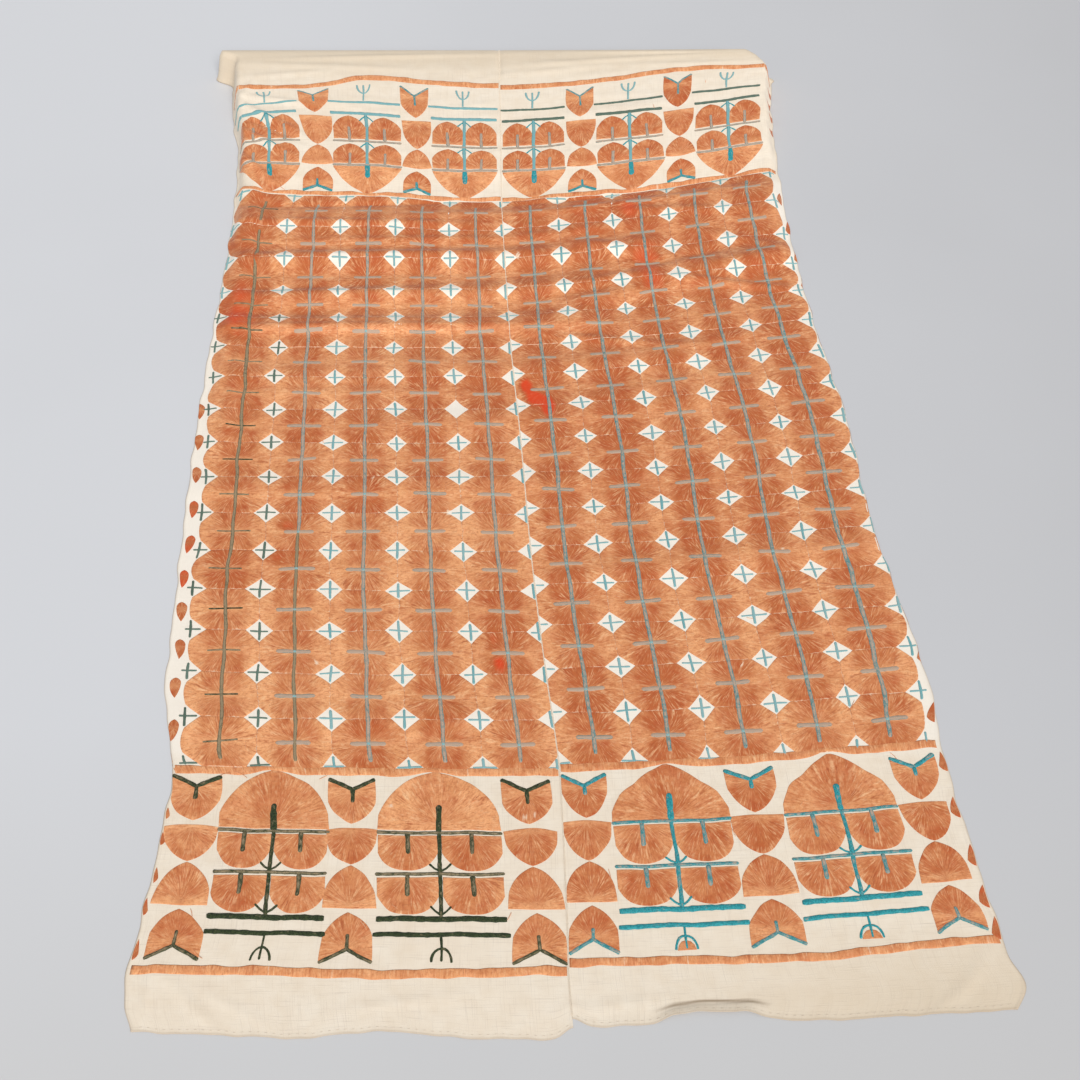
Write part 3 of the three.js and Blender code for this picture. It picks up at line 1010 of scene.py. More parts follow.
class Border:
    """Places a motif's own points, given from its middle and up from the near line, in the pattern. The
    far border is the near one turned end for end, and its floss stands higher."""

    def __init__(self, side, end):
        self.side, self.far = side, end == "far"
        self.heights = HEIGHTS["far" if self.far else (side, end)]
        self.lean = LEAN.get((side, end), 0.0)
        self.look = {"step": 0.6 if self.far else 0.75, "rise": FLOSS_RISE * (1.5 if self.far else 1)}

    def place(self, middle, points):
        points = np.array(points, float)
        along = np.interp(points[:, 1], self.heights["at"], self.heights["along"])
        return np.stack([middle + points[:, 0] + self.lean * (points[:, 1] - 27), along], axis=-1)

    def fan(self, bundle, middle, corners, bulges, hub, stem, seed, **look):
        outline = self.place(middle, curved_outline(corners, bulges))
        outline = outline[::-1] if self.far else outline
        look = {**self.look, **look, "stem": self.place(middle, stem)}
        add_fan(bundle, self.side, outline, self.place(middle, [hub])[0], seed, **look)

    def line(self, bundle, middle, path, width, seed, **look):
        add_line(bundle, self.side, self.place(middle, path), width, seed, **look)


def add_tall_motif(border, fans, lines, bold, middle, half, seed):
    """A domed fan on two rows of cups, with a stem through them, over double bars and an anchor."""
    far, left = border.far, border.side < 0
    side_end, apex, bow = (32.4, 41.5, 0.07) if far else (34.4, 42.2, 0.14) if left else (33.8, 42.2, 0.09)
    top = [(1.0, apex - 0.3), (-1.0, apex - 0.3)]
    corners = [(-half, 31.9), (half, 31.9), (half - 0.1, side_end), *top, (-half + 0.1, side_end)]
    stem = [(0, 32.2), (0, 32.8)]
    border.fan(fans, middle, corners, [0, 0, bow, 0.13, bow, 0], (0, 34.2), stem, seed, turn=0.3)
    cup_half = half / 2 - 0.22
    cup_bow = 0.13 if far else 0.16
    faded = 0.65 if far else 0.35
    for row, (top, bottom, hang) in enumerate(((31.0, 25.1, 27.9), (24.0, 17.95, 20.9))):
        side_end = top - (top - bottom) * 0.5
        hung = (0, top + 0.35)
        cup = [(-cup_half, top), (-cup_half, side_end), (0, bottom), (cup_half, side_end), (cup_half, top)]
        for way in (-1, 1):
            centre = middle + way * (half / 2 + 0.1)
            number = seed + 11 + row * 2 + way
            hub = (0, (top + hang) / 2)
            border.fan(fans, centre, cup, [0, cup_bow, cup_bow, 0, 0], hub, [hung, hung], number)
            border.line(lines, centre, [hung, (0, hang)], 0.8, number + 30, fade=faded, ends=0.5, rise=1.2)
    faded = 0.7 if far else (0.45 if left else 0.3)
    for at in (31.45, 24.55):
        bar = [(-half - 0.1, at), (0, at), (half + 0.1, at)]
        border.line(lines, middle, bar, 0.56, seed + int(at), fade=faded, rise=1.1)
    upper = [(0, 31.6), (0.02, 36.3)]
    border.line(lines, middle, upper, 1.1 + 0.3 * far, seed + 3, fade=0.12, ends=0.5, rise=1.3)
    thin, faded = (0.8, -0.7) if far else (0.66, 0.2)
    border.line(lines, middle, [(0, 17.4), (0.1, 25), (-0.05, 32.4)], thin, seed + 4, fade=faded)
    for at, tip in ((26.2, 24.9), (19.4, 18.0)):
        for way in (-1, 1):
            tick = [(way * 1.7, at), (way * 0.9, at - 0.8), (0, tip)]
            border.line(lines, middle, tick, 0.34, seed + 5, fade=0.1, ends=0.5, step=0.4)
    faded = -0.7 if far else 0.05
    for at, reach, thick in ((17.3, half, 0.9), (14.85, half + 0.3, 0.76)):
        bar = [(-reach, at), (0, at + 0.08), (reach, at)]
        border.line(bold, middle, bar, thick, seed + int(at), fade=faded, ends=0.8, rise=1.2)
    add_anchor(border, fans, lines, middle, seed)


def add_anchor(border, fans, lines, middle, seed):
    """A stem that ends in an arch with an upright in it. On the near right border floss fills the arch."""
    filled = border.side > 0 and not border.far
    reach, foot, top = (1.7, 10.6, 12.6) if filled else (1.5, 10.6, 12.7)
    angle = np.linspace(0, math.pi, 11)
    arch = np.stack([reach * np.cos(angle), foot + (top - foot) * np.sin(angle)], axis=-1)
    if filled:
        corners, hub = [(-1.5, 10.5), (1.5, 10.5), (0, 11.9)], (0, 11.1)
        border.fan(fans, middle, corners, [0, 0.2, 0.2], hub, [hub, hub], seed + 60, step=0.5)
    thin, faded = (0.44, -0.9) if border.far else (0.38, 0.1)
    border.line(lines, middle, arch, thin, seed + 7, fade=faded, ends=0.6, step=0.4)
    border.line(lines, middle, [(0, 14.6), (0, top)], thin, seed + 8, fade=faded, ends=0.6)
    border.line(lines, middle, [(0, top), (0.05, foot + 0.1)], thin, seed + 9, fade=faded, step=0.4)


def add_small_column(border, fans, lines, middle, half, seed):
    """A shield, two half rounds and an arch, one over the other, with lines in the notches."""
    corner, notch_at, foot, top, cup, apex, base, tip = SMALL_LEVELS["far" if border.far else "near"]
    wide = half + 0.25
    shapes = (
        # outline, bulges, hub, stem
        (
            [(-half, corner), (-half, 36.6), (0, foot), (half, 36.6), (half, corner), (0, notch_at)],
            [0.02, 0.12, 0.12, 0.02, 0.0, 0.0], (0, 37.0), [(0, notch_at), (0, notch_at - 0.4)],
        ),
        (
            [(-wide, top - 0.5), (-half, 29.6), (0, cup), (half, 29.6), (wide, top - 0.5), (0, top)],
            [0.02, 0.12, 0.12, 0.02, 0.03, 0.03], (0, 29.4), [(0, top), (0, top - 0.6)],
        ),
        (
            [(-wide, base), (wide, base), (half, 21.6), (0, apex), (-half, 21.6)],
            [0.0, 0.02, 0.12, 0.12, 0.02], (0, 21.4), [(0, base), (0, base + 0.6)],
        ),
        (
            [(-half, 10.5), (0, 12.6), (half, 10.5), (half - 0.1, 14.6), (0, tip), (-half + 0.1, 14.6)],
            [0.0, 0.0, 0.02, 0.1, 0.1, 0.02], (0, 14.6), [(0, 12.6), (0, 13.0)],
        ),
    )
    for k, (corners, bulges, hub, stem) in enumerate(shapes):
        border.fan(fans, middle, corners, bulges, hub, stem, seed + k)
    vee = [(-half, corner + 0.05), (-half / 2, (corner + notch_at) / 2 + 0.1), (0, notch_at + 0.1)]
    roof = [(-half, 10.5), (-half / 2, 11.5), (0, 12.6)]
    notches = (
        # one arm, the upright, width, number, fade
        (vee, [(0, notch_at + 0.2), (0, notch_at - 2.2)], 0.76, 20, 0.2),
        (roof, [(0, 12.5), (0, 14.9)], 0.58, 30, 0.3),
    )
    for arm, upright, width, number, faded in notches:
        other_arm = [(-x, y) for x, y in arm]
        for k, path in enumerate((arm, other_arm, upright)):
            border.line(lines, middle, path, width, seed + number + k, fade=faded, ends=0.6, rise=1.2)


def add_stripe(bundle, side, edges, domes, bump, seed):
    """A band of floss across the cloth with uneven edges. The edge on the border's side gives way where
    a dome comes up to it."""
    rows, thickness = edges
    x = np.linspace(*STRIPE_ENDS, 112)
    middle = read(rows, "middle", x)
    way = sum((bell((x - place) / DOME_REACH) for place in domes), np.zeros_like(x)) * bump
    low = middle - thickness / 2 + wobble(x, seed, 9, 0.13) + np.maximum(way, 0)
    high = middle + thickness / 2 + wobble(x, seed + 1, 7, 0.13) + np.minimum(way, 0)
    add_strip(bundle, side, np.stack([x, low], axis=-1), np.stack([x, high], axis=-1), seed, FLOSS_RISE * 1.2)


def add_strip(bundle, side, lower, upper, seed, rise):
    """A band of floss between two edges: across it the face rises, stays level and comes down. It is
    worn in short places where one length of stitching ends and the next begins."""
    share = np.array([0, 0.1, 0.5, 0.9, 1, 0.9, 0.5, 0.1])
    lift = np.array([0.1, rise * 0.9, rise, rise * 0.9, 0.1, -FAN_SINK, -FAN_SINK, -FAN_SINK])
    flat = lower[:, None] + (upper - lower)[:, None] * share[None, :, None]
    rows, n = flat.shape[:2]
    height = np.tile(lift, (rows, 1))
    height[[0, -1]] = np.where(lift > 0, 0.1, lift)
    ends = (lower[[0, -1]] + upper[[0, -1]]) / 2
    flat_points = np.concatenate([flat.reshape(-1, 2), ends])
    points = on_cloth(side, flat_points, np.append(height.ravel(), [0, 0]))
    x, y = flat_points.T
    thread = np.stack([x * 0.9, y, np.full(len(x), seed * 5.3 % 71)], axis=-1)
    shade = 0.3 + wobble(x, seed + 2, 11, 0.14) + special_shade(side, flat_points)
    first_joint = np.random.default_rng(seed).uniform(0, STITCHING)
    from_joint = np.abs((x + first_joint) % STITCHING - STITCHING / 2)
    worn = wear_at(side, flat_points) + 0.6 * bell(from_joint / 0.5)
    bundle.add(points, closed_quads(rows, n), thread=thread, shade=shade, fade=worn)


def make_border(side, end):
    """The pieces of one border. The bars of the far right one are of dark floss."""
    border = Border(side, end)
    layout = BORDERS[side, end]
    fans, lines, deep = Bundle(), Bundle(), Bundle()
    bold = deep if side > 0 and border.far else lines
    seed = SEED["borders"] + 500 * border.far + 100 * side
    for k, (middle, half) in enumerate(layout["tall"]):
        add_tall_motif(border, fans, lines, bold, middle, half, seed + 120 * k)
    for k, (middle, half) in enumerate(layout["small"]):
        add_small_column(border, fans, lines, middle, half, seed + 60 + 120 * k)
    outer, inner = STRIPES[side, end]
    add_stripe(fans, side, outer, (), 0, seed + 90)
    domes = [middle + border.lean * 15 for middle, _ in layout["tall"]]
    add_stripe(fans, side, inner, domes, -0.5 if border.far else 0.7, seed + 91)
    name = f"{SIDES[side]}_{end}_border"
    floss = "green_floss" if side < 0 and end == "near" else "teal_floss"
    pieces = [
        fans.piece(f"{name}_fans", "orange_floss"),
        lines.piece(f"{name}_lines", floss),
    ]
    if deep.count:
        pieces.append(deep.piece(f"{name}_bars", "green_floss"))
    return pieces


# ---- small leaves and teeth of floss along the selvages


def make_selvage_teeth(side):
    """Leaves that hang from their round ends by the left selvage, and long teeth by the right one."""
    teeth = Bundle()
    if side < 0:
        for k, at in enumerate((49.3, 57.6, 65.6, 73.6, 81.0, 89.0, 97.4, 106.0, 114.4, 122.8)):
            corners = [(64.2, at + 1.0), (63.3, at + 2.0), (62.4, at + 1.0), (63.5, at - 2.2)]
            outline = curved_outline(corners, [0.15, 0.15, 0.08, 0.08], step=0.4)
            tone = 0.9 if 4 <= k <= 6 else 0.3
            add_fan(teeth, side, outline, (63.3, at + 0.4), SEED["leaves"] + k, step=0.5, tone=tone)
        places = ((11.6, 1.9), (18.2, 1.7), (23.4, 1.6), (29.5, 1.3), (33.9, 1.2), (38.4, 1.2), (43.6, 1.4))
        low, high = 63.5, 64.1
    else:
        places = tuple((at, 2.2) for at in (11.6, 16.6, 23.5, 31.7, 39.8, 48.8, 60.0, 68.0, 76.0, 84.2, 93.0))
        places += tuple((at, 2.3) for at in np.arange(101, 186, 8.6))
        places += tuple((at, 1.5) for at in (203.0, 208.6, 214.2, 219.6))
        low, high = 63.0, 64.15
    for k, (at, half) in enumerate(places):
        corners = [(high, at - half * 0.7), (high, at + half), (low, at - 0.2 * half)]
        outline = curved_outline(corners, [0.06, 0.04, 0.1], step=0.4)
        add_fan(teeth, side, outline, ((low + 2 * high) / 3, at), SEED["teeth"] + k, step=0.5, tone=0.55)
    name = f"{SIDES[side]}_selvage_teeth"
    return [teeth.piece(name, "orange_floss")]


# ---- sewing: the stitches of the seam and hems, and loose ends of floss

# Places in centimetres, radii in millimetres.
SEAM_STITCH = {"step": 0.2, "slant": 0.18, "radius": 0.6}
HEM_STITCH = {"step": 1.15, "half": 0.28, "inset": 0.62, "radius": 0.35}
LOOSE_END = {"count": 46, "radius": 0.4}


def add_thread(bundle, points, radius, seed, sides=5, fade=0.0, shade=0.3):
    """A round thread along points (m): a circle carried along them, with the ends drawn in."""
    points = np.asarray(points, float)
    n = len(points)
    way = np.gradient(points, axis=0)
    way /= np.linalg.norm(way, axis=1, keepdims=True)
    aside = np.cross(way, [0, 0, 1.0])
    aside /= np.linalg.norm(aside, axis=1, keepdims=True) + 1e-9
    up = np.cross(aside, way)
    turn = np.arange(sides) * TAU / sides
    size = np.full(n, radius)
    size[[0, -1]] *= 0.45
    ring = aside[:, None] * np.cos(turn)[None, :, None] + up[:, None] * np.sin(turn)[None, :, None]
    skin = (points[:, None] + ring * size[:, None, None]).reshape(-1, 3)
    run = np.concatenate([[0], np.cumsum(np.linalg.norm(np.diff(points, axis=0), axis=1))]) / CM
    number = np.full(n * sides, seed % 83)
    thread = np.stack([np.tile(turn, n) * 0.05, np.repeat(run, sides), number], axis=-1)
    thread = np.concatenate([thread, thread[[0, -1]]])
    skin = np.concatenate([skin, points[[0, -1]]])
    bundle.add(skin, closed_quads(n, sides), thread=thread, shade=shade, fade=fade)


def both_sides_point(across, along, lift):
    """A place given by a signed distance across the seam (cm), on whichever width it falls."""
    side = -1 if across < 0 else 1
    across = np.abs(across)
    return LIE[side].at(across, along, cloth_thickness(side, across, along) + lift)


def make_seam_stitches():
    """Slanting overcast stitches that hold the two widths together."""
    stitches = Bundle()
    rng = np.random.default_rng(SEED["seam"])
    for k, along in enumerate(np.arange(2.0, 241.5, SEAM_STITCH["step"])):
        reach = rng.uniform(0.12, 0.2)
        slant = SEAM_STITCH["slant"] + rng.normal(0, 0.03)
        shape = ((-1, -0.2), (-0.5, 0.3), (0.5, 0.3), (1, -0.2))
        path = [both_sides_point(reach * q, along + slant * q, lift) for q, lift in shape]
        add_thread(stitches, path, SEAM_STITCH["radius"] * MM, k, sides=4, shade=0.0)
    return stitches.piece("seam_stitches", "cotton_cloth")


def make_hem_stitches(side):
    """Running stitches along both hems."""
    stitches = Bundle()
    shape = np.array([-0.25, 0.12, 0.12, -0.25])
    run = np.linspace(-HEM_STITCH["half"], HEM_STITCH["half"], len(shape))
    for line in (NEAR_END[side] + HEM_STITCH["inset"], FAR_END - HEM_STITCH["inset"]):
        along = np.full(len(shape), line)
        for k, middle in enumerate(np.arange(0.8, 63.6, HEM_STITCH["step"])):
            lift = cloth_thickness(side, middle + run, along) + shape
            path = LIE[side].at(middle + run, along, lift)
            add_thread(stitches, path, HEM_STITCH["radius"] * MM, k, sides=4)
    return stitches.piece(f"{SIDES[side]}_hem_stitches", "cotton_cloth")


def make_loose_ends(side):
    """Broken ends of floss in short bent lengths, which rest on the surface at their ends and bow up."""
    ends = Bundle()
    rng = np.random.default_rng(SEED["loose ends"] + side)
    for k in range(LOOSE_END["count"]):
        start = np.array([rng.uniform(2, 61), rng.uniform(12, 220)])
        angle = rng.uniform(0, TAU)
        bend = rng.normal(0, 0.8)
        length = rng.uniform(0.9, 2.6)
        q = np.linspace(0, 1, 9)
        heading = angle + bend * q
        path = start + np.cumsum(np.stack([np.cos(heading), np.sin(heading)], axis=-1), axis=0) * length / 9
        lift = 0.45 + 0.5 * bell(2 * q - 1) + 0.55 * rough_ground(side, *path.T)
        points = on_cloth(side, path, lift)
        add_thread(ends, points, LOOSE_END["radius"] * MM, k + 200, fade=0.5)
    return ends.piece(f"{SIDES[side]}_loose_ends", "orange_floss")


# ------------------------------------------------------------------------------------ materials


def colour(red, green, blue):
    """A colour as it is seen, 0 to 255, made linear: under 0.04045 a straight line, over it a power."""
    seen = np.array([red, green, blue]) / 255
    linear = np.where(seen <= 0.04045, seen / 12.92, ((seen + 0.055) / 1.055) ** 2.4)
    return (*linear.tolist(), 1.0)


class Nodes:
    """Short names for the nodes of one tree: `add` returns the new node, and the others its output."""

    def __init__(self, tree):
        self.tree = tree

    def add(self, kind, inputs=None, **settings):
        node = self.tree.nodes.new(kind)
        for key, value in settings.items():
            setattr(node, key, value)
        for key, value in (inputs or {}).items():
            self.put(node.inputs[key], value)
        return node

    def put(self, socket, value):
        if isinstance(value, bpy.types.NodeSocket):
            self.tree.links.new(value, socket)
        else:
            socket.default_value = value

    def math(self, operation, a, b=0.0):
        return self.add("ShaderNodeMath", {0: a, 1: b}, operation=operation).outputs[0]

    def times(self, a, b):
        return self.math("MULTIPLY", a, b)

    def times_plus(self, a, b, c):
        return self.add("ShaderNodeMath", {0: a, 1: b, 2: c}, operation="MULTIPLY_ADD").outputs[0]

    def mix(self, factor, a, b):
        node = self.add("ShaderNodeMix", {0: factor, 6: a, 7: b}, data_type="RGBA", clamp_factor=True)
        return node.outputs[2]

    def coats(self, base, *coats):
        """A base colour with others over it in turn, each given as its share and the colour as seen."""
        for share, *seen in coats:
            base = self.mix(share, base, colour(*seen))
        return base

    def spread(self, value, low, high, to_low=0.0, to_high=1.0):
        node = self.add("ShaderNodeMapRange", {0: value, 1: low, 2: high, 3: to_low, 4: to_high})
        return node.outputs[0]

    def stretch(self, vector, scale):
        return self.add("ShaderNodeVectorMath", {0: vector, 1: scale}, operation="MULTIPLY").outputs[0]

    def noise(self, vector, scale, detail, rough):
        inputs = {"Vector": vector, "Scale": scale, "Detail": detail, "Roughness": rough}
        return self.add("ShaderNodeTexNoise", inputs).outputs[0]

    def attribute(self, name, output="Vector"):
        return self.add("ShaderNodeAttribute", attribute_name=name).outputs[output]

    def bump(self, height, strength, distance):
        inputs = {"Height": height, "Strength": strength, "Distance": distance}
        return self.add("ShaderNodeBump", inputs).outputs[0]


def shader_group(name, inputs, outputs, build):
    """A node group with named inputs (name: (kind, value)) and outputs, filled in by `build`."""
    tree = bpy.data.node_groups.new(name, "ShaderNodeTree")
    for label, (kind, value) in inputs.items():
        socket = tree.interface.new_socket(label, in_out="INPUT", socket_type=kind)
        if value is not None:
            socket.default_value = value
    for label in outputs:
        tree.interface.new_socket(label, in_out="OUTPUT", socket_type="NodeSocketFloat")
    nodes = Nodes(tree)
    given = nodes.add("NodeGroupInput").outputs
    results = build(nodes, {label: given[label] for label in inputs})
    nodes.add("NodeGroupOutput", dict(zip(outputs, results)))
    return tree


def build_weave(nodes, given):
    """Plain weave: two sets of round threads that pass over and under each other, with thick slubs here
    and there. Height is the higher of the two, and Slub is how thick the threads are."""
    vector, count = given["Place"], given["Threads"]
    part = nodes.add("ShaderNodeSeparateXYZ", {0: vector}).outputs
    x = nodes.times(part[0], count)
    y = nodes.times(part[1], count)
    warp = nodes.math("SINE", nodes.times(x, TAU))
    weft = nodes.math("SINE", nodes.times(y, TAU))
    half_warp = nodes.math("SINE", nodes.times(x, math.pi))
    over = nodes.times(half_warp, nodes.math("SINE", nodes.times(y, math.pi)))
    height = nodes.math("MAXIMUM", nodes.math("ADD", warp, over), nodes.math("SUBTRACT", weft, over))
    long_warp = nodes.noise(nodes.stretch(vector, (6.0, 0.16, 1.0)), 1.0, 2.0, 0.6)
    long_weft = nodes.noise(nodes.stretch(vector, (0.16, 6.0, 1.0)), 1.0, 2.0, 0.6)
    slub = nodes.math("ADD", nodes.spread(long_warp, 0.55, 0.75), nodes.spread(long_weft, 0.55, 0.75))
    return nodes.times_plus(slub, 0.8, nodes.times(height, 0.4)), slub


def build_strands(nodes, given):
    """Darned floss: streaks that run along the thread, thin strands in them, and short gaps where one
    stitch ends and the next begins, each strand's gaps being in a place of their own."""
    thread = given["Thread"]
    part = nodes.add("ShaderNodeSeparateXYZ", {0: thread}).outputs
    streak = nodes.noise(nodes.stretch(thread, (2.5, 0.34, 1.0)), 1.0, 2.0, 0.7)
    strand = nodes.noise(nodes.stretch(thread, (6.5, 0.6, 1.0)), 1.0, 1.0, 0.6)
    lane = nodes.math("FLOOR", nodes.times(part[0], given["Lanes"]))
    own = nodes.add(
        "ShaderNodeTexWhiteNoise",
        {0: nodes.add("ShaderNodeCombineXYZ", {0: lane, 1: nodes.math("FLOOR", part[2])}).outputs[0]},
        noise_dimensions="3D",
    ).outputs[0]
    step = nodes.times_plus(part[1], given["Stitches"], own)
    along = nodes.math("FRACT", step)
    edge = nodes.math("ABSOLUTE", nodes.math("SUBTRACT", along, 0.5))
    gap = nodes.spread(edge, 0.4, 0.49)
    return streak, strand, gap


def build_age(nodes, given):
    """What use and washing leave: broad uneven tone, and smaller blotches."""
    broad = nodes.noise(given["Place"], 0.045, 3.0, 0.55)
    blotch = nodes.noise(given["Place"], 0.35, 4.0, 0.6)
    return nodes.spread(broad, 0.3, 0.7), nodes.spread(blotch, 0.35, 0.7)


def make_groups():
    vector, number = "NodeSocketVector", "NodeSocketFloat"
    return {
        "weave": shader_group(
            "plain weave", {"Place": (vector, None), "Threads": (number, 11.0)}, ("Height", "Slub"),
            build_weave,
        ),
        "strands": shader_group(
            "darned strands",
            {"Thread": (vector, None), "Lanes": (number, 12.0), "Stitches": (number, 1.3)},
            ("Streak", "Strand", "Gap"), build_strands,
        ),
        "age": shader_group("age", {"Place": (vector, None)}, ("Broad", "Blotch"), build_age),
    }


def use_group(nodes, name, **inputs):
    node = nodes.add("ShaderNodeGroup", node_tree=GROUPS[name])
    for key, value in inputs.items():
        nodes.put(node.inputs[key], value)
    return node.outputs


def new_material(name):
    """A material with the nodes of its tree and its Principled shader."""
    material = bpy.data.materials.new(name)
    material.use_nodes = True
    shader = next(n for n in material.node_tree.nodes if n.type == "BSDF_PRINCIPLED")
    return material, Nodes(material.node_tree), shader


def new_cloth_material(name, rough, sheen, sheen_rough=0.4):
    """A cloth material, to which colour and normal are then linked."""
    material, nodes, shader = new_material(name)
    shader.inputs["Roughness"].default_value = rough
    shader.inputs["Sheen Weight"].default_value = sheen
    shader.inputs["Sheen Roughness"].default_value = sheen_rough
    shader.inputs["Specular IOR Level"].default_value = 0.25
    return material, nodes, shader


def make_cotton():
    """Cream handspun cotton: woven threads with slubs, broad tone and faint stains. It is darker towards the
    near right corner, darker at the far plain end as painted shade where that end slopes away from the
    light, and paler in the field."""
    material, nodes, shader = new_cloth_material("cotton_cloth", 0.92, 0.12)
    thread = nodes.attribute("thread")
    weave = use_group(nodes, "weave", Place=thread, Threads=9.0)
    age = use_group(nodes, "age", Place=thread)
    across, along, _ = nodes.add("ShaderNodeSeparateXYZ", {0: thread}).outputs
    near_right = nodes.times(nodes.spread(across, 0, 50, 0.0, 0.6), nodes.spread(along, 16, 4))
    # Darker towards the near right corner; at the far plain end this is painted shade, where the end slopes
    # away from the light.
    dull = nodes.math("MAXIMUM", near_right, nodes.spread(along, 224, 234, 0.0, 0.6))
    field = nodes.times(nodes.spread(along, 42, 46, 0.0, 0.7), nodes.spread(along, 188, 184))
    base = nodes.coats(
        colour(244, 231, 212),
        (weave["Slub"], 226, 213, 197),
        (nodes.times(age["Broad"], 0.45), 240, 221, 196),
        (nodes.times(age["Blotch"], 0.33), 224, 202, 174),
        # dull: the near right corner darker, and painted shade over the far plain end
        (dull, 216, 196, 168),
        (field, 252, 243, 230),
        # the shade attribute: painted shade along the cloth's edges and in the crease of the turned-up edge;
        # it also darkens the hem stitches
        (nodes.attribute("shade", "Fac"), 150, 128, 104),
    )
    nodes.put(shader.inputs["Base Color"], base)
    nodes.put(shader.inputs["Normal"], nodes.bump(weave["Height"], 0.45, 0.0004))
    return material


def make_orange():
    """Orange floss. Stitches that run along the stem are painted darker and redder than those across it:
    painted sheen, as silk shines differently with the way its threads run. Light and dark dashes run
    along the stitches, over a fine brown speckle."""
    material, nodes, shader = new_cloth_material("orange_floss", 0.55, 0.16, 0.35)
    thread, shade = nodes.attribute("thread"), nodes.attribute("shade", "Fac")
    wear = nodes.attribute("fade", "Fac")
    strands = use_group(nodes, "strands", Thread=thread, Lanes=11.0, Stitches=1.2)
    streak, strand, gap = strands["Streak"], strands["Strand"], strands["Gap"]
    place = nodes.stretch(nodes.add("ShaderNodeTexCoord").outputs["Object"], (100.0, 100.0, 100.0))
    age = use_group(nodes, "age", Place=place)
    mottle = nodes.noise(place, 0.42, 3.0, 0.6)
    speckle = nodes.noise(place, 1.9, 2.0, 0.6)
    uneven = nodes.times_plus(nodes.math("SUBTRACT", mottle, 0.5), 1.2, shade)
    crisp = nodes.spread(nodes.noise(place, 0.16, 2.0, 0.5), 0.4, 0.62, 0.35, 1.0)
    light = nodes.times(nodes.spread(streak, 0.55, 0.68), crisp)
    dark = nodes.times(nodes.spread(streak, 0.45, 0.33), crisp)
    bare = nodes.times_plus(nodes.math("SUBTRACT", streak, 0.5), 1.7, wear)
    base = nodes.coats(
        colour(248, 177, 123),
        (nodes.spread(uneven, 0.05, 0.95), 190, 94, 50),
        (nodes.times(age["Blotch"], 0.35), 210, 140, 82),
        (nodes.times(light, 0.66), 253, 202, 152),
        (nodes.times(dark, 0.66), 168, 80, 42),
        (nodes.spread(strand, 0.58, 0.72, 0.0, 0.45), 250, 200, 152),
        (nodes.spread(strand, 0.42, 0.28, 0.0, 0.45), 176, 90, 50),
        (nodes.spread(speckle, 0.5, 0.7, 0.0, 0.45), 184, 104, 58),
        (nodes.spread(shade, 1.1, 2.2, 0.0, 0.85), 226, 66, 24),
        # painted shade in the short gaps where one stitch ends and the next begins
        (nodes.times(gap, 0.2), 150, 78, 46),
        (nodes.spread(bare, 0.5, 0.95, 0.0, 0.9), 242, 212, 182),
    )
    nodes.put(shader.inputs["Base Color"], base)
    height = nodes.times_plus(streak, 1.0, nodes.times(strand, 0.6))
    height = nodes.math("SUBTRACT", height, nodes.times(gap, 0.3))
    nodes.put(shader.inputs["Normal"], nodes.bump(height, 0.5, 0.0008))
    return material


def make_line_floss(name, fresh, deep, dull, faded, pale):
    """Floss of the stems, bars and crosses. Its stitches lie aslant from the middle of the line. Where it
    is faded (above 0) its middle shows beige between dull edges; below 0 it is paler all over."""
    material, nodes, shader = new_cloth_material(name, 0.6, 0.15)
    thread, core = nodes.attribute("thread"), nodes.attribute("shade", "Fac")
    fade = nodes.attribute("fade", "Fac")
    across, along, _ = nodes.add("ShaderNodeSeparateXYZ", {0: thread}).outputs
    slant = nodes.times_plus(nodes.math("ABSOLUTE", across), 1.6, along)
    stitch = nodes.math("SINE", nodes.times(slant, TAU / 0.34))
    uneven = nodes.noise(nodes.stretch(thread, (2.0, 1.1, 1.0)), 1.0, 3.0, 0.6)
    fleck = nodes.noise(nodes.stretch(thread, (5.0, 4.0, 1.0)), 1.0, 2.0, 0.6)
    worn = nodes.times_plus(nodes.math("SUBTRACT", uneven, 0.5), 1.6, fade)
    middle = nodes.times(nodes.spread(core, 0.1, 0.75), nodes.spread(worn, 0.2, 0.6))
    all_over = nodes.spread(worn, 0.45, 1.1)
    bare = nodes.math("MAXIMUM", nodes.times(middle, 0.85), nodes.times(all_over, 0.85))
    scrap = nodes.times(nodes.spread(fleck, 0.56, 0.62, 0.0, 0.6), nodes.spread(fade, 0.2, 0.6))
    base = nodes.coats(
        colour(*deep),
        (nodes.spread(fleck, 0.35, 0.65), *fresh),
        (nodes.spread(fade, 0.0, -1.0), *pale),
        (nodes.spread(fade, 0.15, 0.8, 0.0, 0.9), *dull),
        (bare, *faded),
        (scrap, *faded),
        (nodes.spread(stitch, 0.2, 1.0, 0.0, 0.2), *deep),
    )
    nodes.put(shader.inputs["Base Color"], base)
    nodes.put(shader.inputs["Normal"], nodes.bump(stitch, 0.5, 0.0004))
    return material


GROUPS = make_groups()
MATERIALS = {
    "cotton_cloth": make_cotton(),
    "orange_floss": make_orange(),
    "teal_floss": make_line_floss(
        "teal_floss", fresh=(60, 172, 178), deep=(30, 124, 132), dull=(104, 122, 116),
        faded=(206, 172, 146), pale=(146, 186, 186),
    ),
    "green_floss": make_line_floss(
        "green_floss", fresh=(66, 78, 44), deep=(30, 40, 22), dull=(92, 88, 62),
        faded=(170, 148, 116), pale=(106, 128, 114),
    ),
}


# ------------------------------------------------------------------------- floor, light, camera


FLOOR_REACH = 12.0       # metres
ROOM_LIGHT = {"colour": (0.93, 0.96, 1.0, 1.0), "power": 0.5}
SOFTBOX = {"way": (-0.3, 1.0, -0.85), "spread": 26, "power": 2.65}


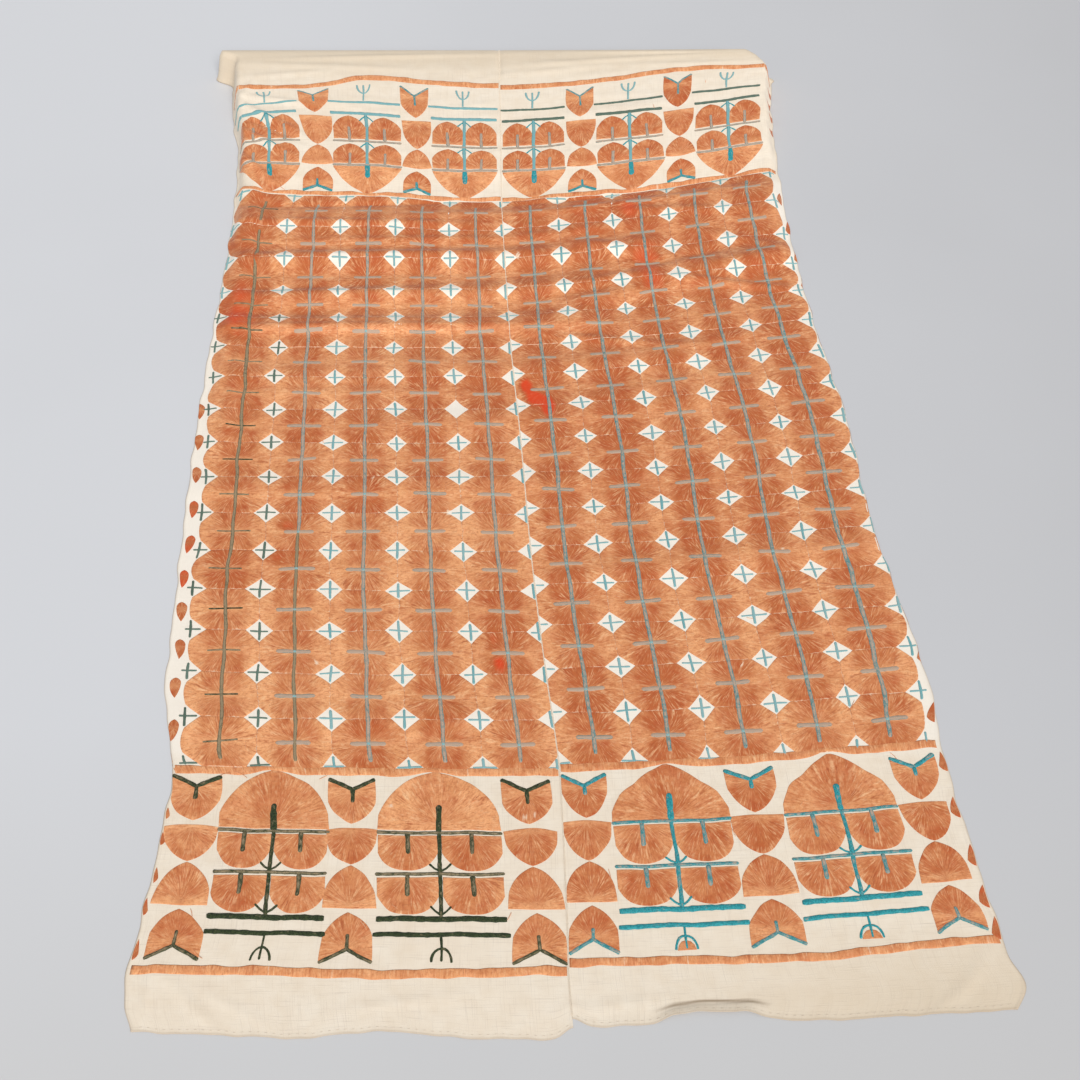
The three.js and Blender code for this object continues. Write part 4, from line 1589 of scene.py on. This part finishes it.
def make_floor():
    mesh = bpy.data.meshes.new("floor")
    corners = [(x * FLOOR_REACH, y * FLOOR_REACH, 0) for x, y in ((-1, -1), (1, -1), (1, 1), (-1, 1))]
    mesh.from_pydata(corners, [], [(0, 1, 2, 3)])
    floor = place_object("floor", mesh)
    material, nodes, shader = new_material("pale_floor")
    place = nodes.add("ShaderNodeTexCoord").outputs["Object"]
    x, y, _ = nodes.add("ShaderNodeSeparateXYZ", {0: place}).outputs
    cloudy = nodes.noise(place, 1.2, 3.0, 0.5)
    # Painted shade: the floor grows darker towards the right, where the light falls off; towards the near
    # side it is greyer and warmer.
    right = nodes.math("ADD", nodes.spread(x, -0.7, 1.5), nodes.spread(cloudy, 0.3, 0.7, -0.08, 0.08))
    near = nodes.spread(y, -0.7, -1.6, 0.0, 0.7)
    base = nodes.coats(colour(213, 213, 215), (right, 193, 192, 193), (near, 198, 195, 191))
    nodes.put(shader.inputs["Base Color"], base)
    shader.inputs["Roughness"].default_value = 0.7
    mesh.materials.append(material)


def make_light(name, way, spread, power):
    """A softbox so far off that its light is even: the way that the light travels, and how wide the
    softbox looks from the shawl, in degrees."""
    data = bpy.data.lights.new(name, "SUN")
    data.energy = power
    data.angle = math.radians(spread)
    down = math.atan2(math.hypot(way[0], way[1]), -way[2])
    place_object(name, data).rotation_euler = (down, 0, math.atan2(way[1], way[0]) - math.pi / 2)


def make_surroundings():
    scene = bpy.context.scene
    scene.world = bpy.data.worlds.new("soft_room")
    scene.world.use_nodes = True
    background = scene.world.node_tree.nodes["Background"]
    background.inputs[0].default_value = ROOM_LIGHT["colour"]
    background.inputs[1].default_value = ROOM_LIGHT["power"]
    make_light("front_softbox", **SOFTBOX)
    scene.view_settings.view_transform = "Standard"


def make_camera():
    data = bpy.data.cameras.new("camera")
    data.sensor_width = 36
    data.lens = CAMERA_LENS
    camera = place_object("camera", data)
    camera.location = (-MIDDLE[0] * CM, -MIDDLE[1] * CM - CAMERA_BACK, CAMERA_HEIGHT)
    camera.rotation_euler = (math.radians(90 - CAMERA_TILT), 0, 0)
    bpy.context.scene.camera = camera


# -------------------------------------------------------------------------------- the whole


def make_shawl():
    seam = make_seam_stitches()
    for side, name in SIDES.items():
        cloth = make_cloth(side)
        on_it = make_field(side) + make_border(side, "near") + make_border(side, "far")
        on_it += make_selvage_teeth(side) + [make_hem_stitches(side), make_loose_ends(side)]
        if side < 0:
            on_it.append(seam)
        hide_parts(f"{name}_width")


make_shawl()
make_floor()
make_surroundings()
make_camera()
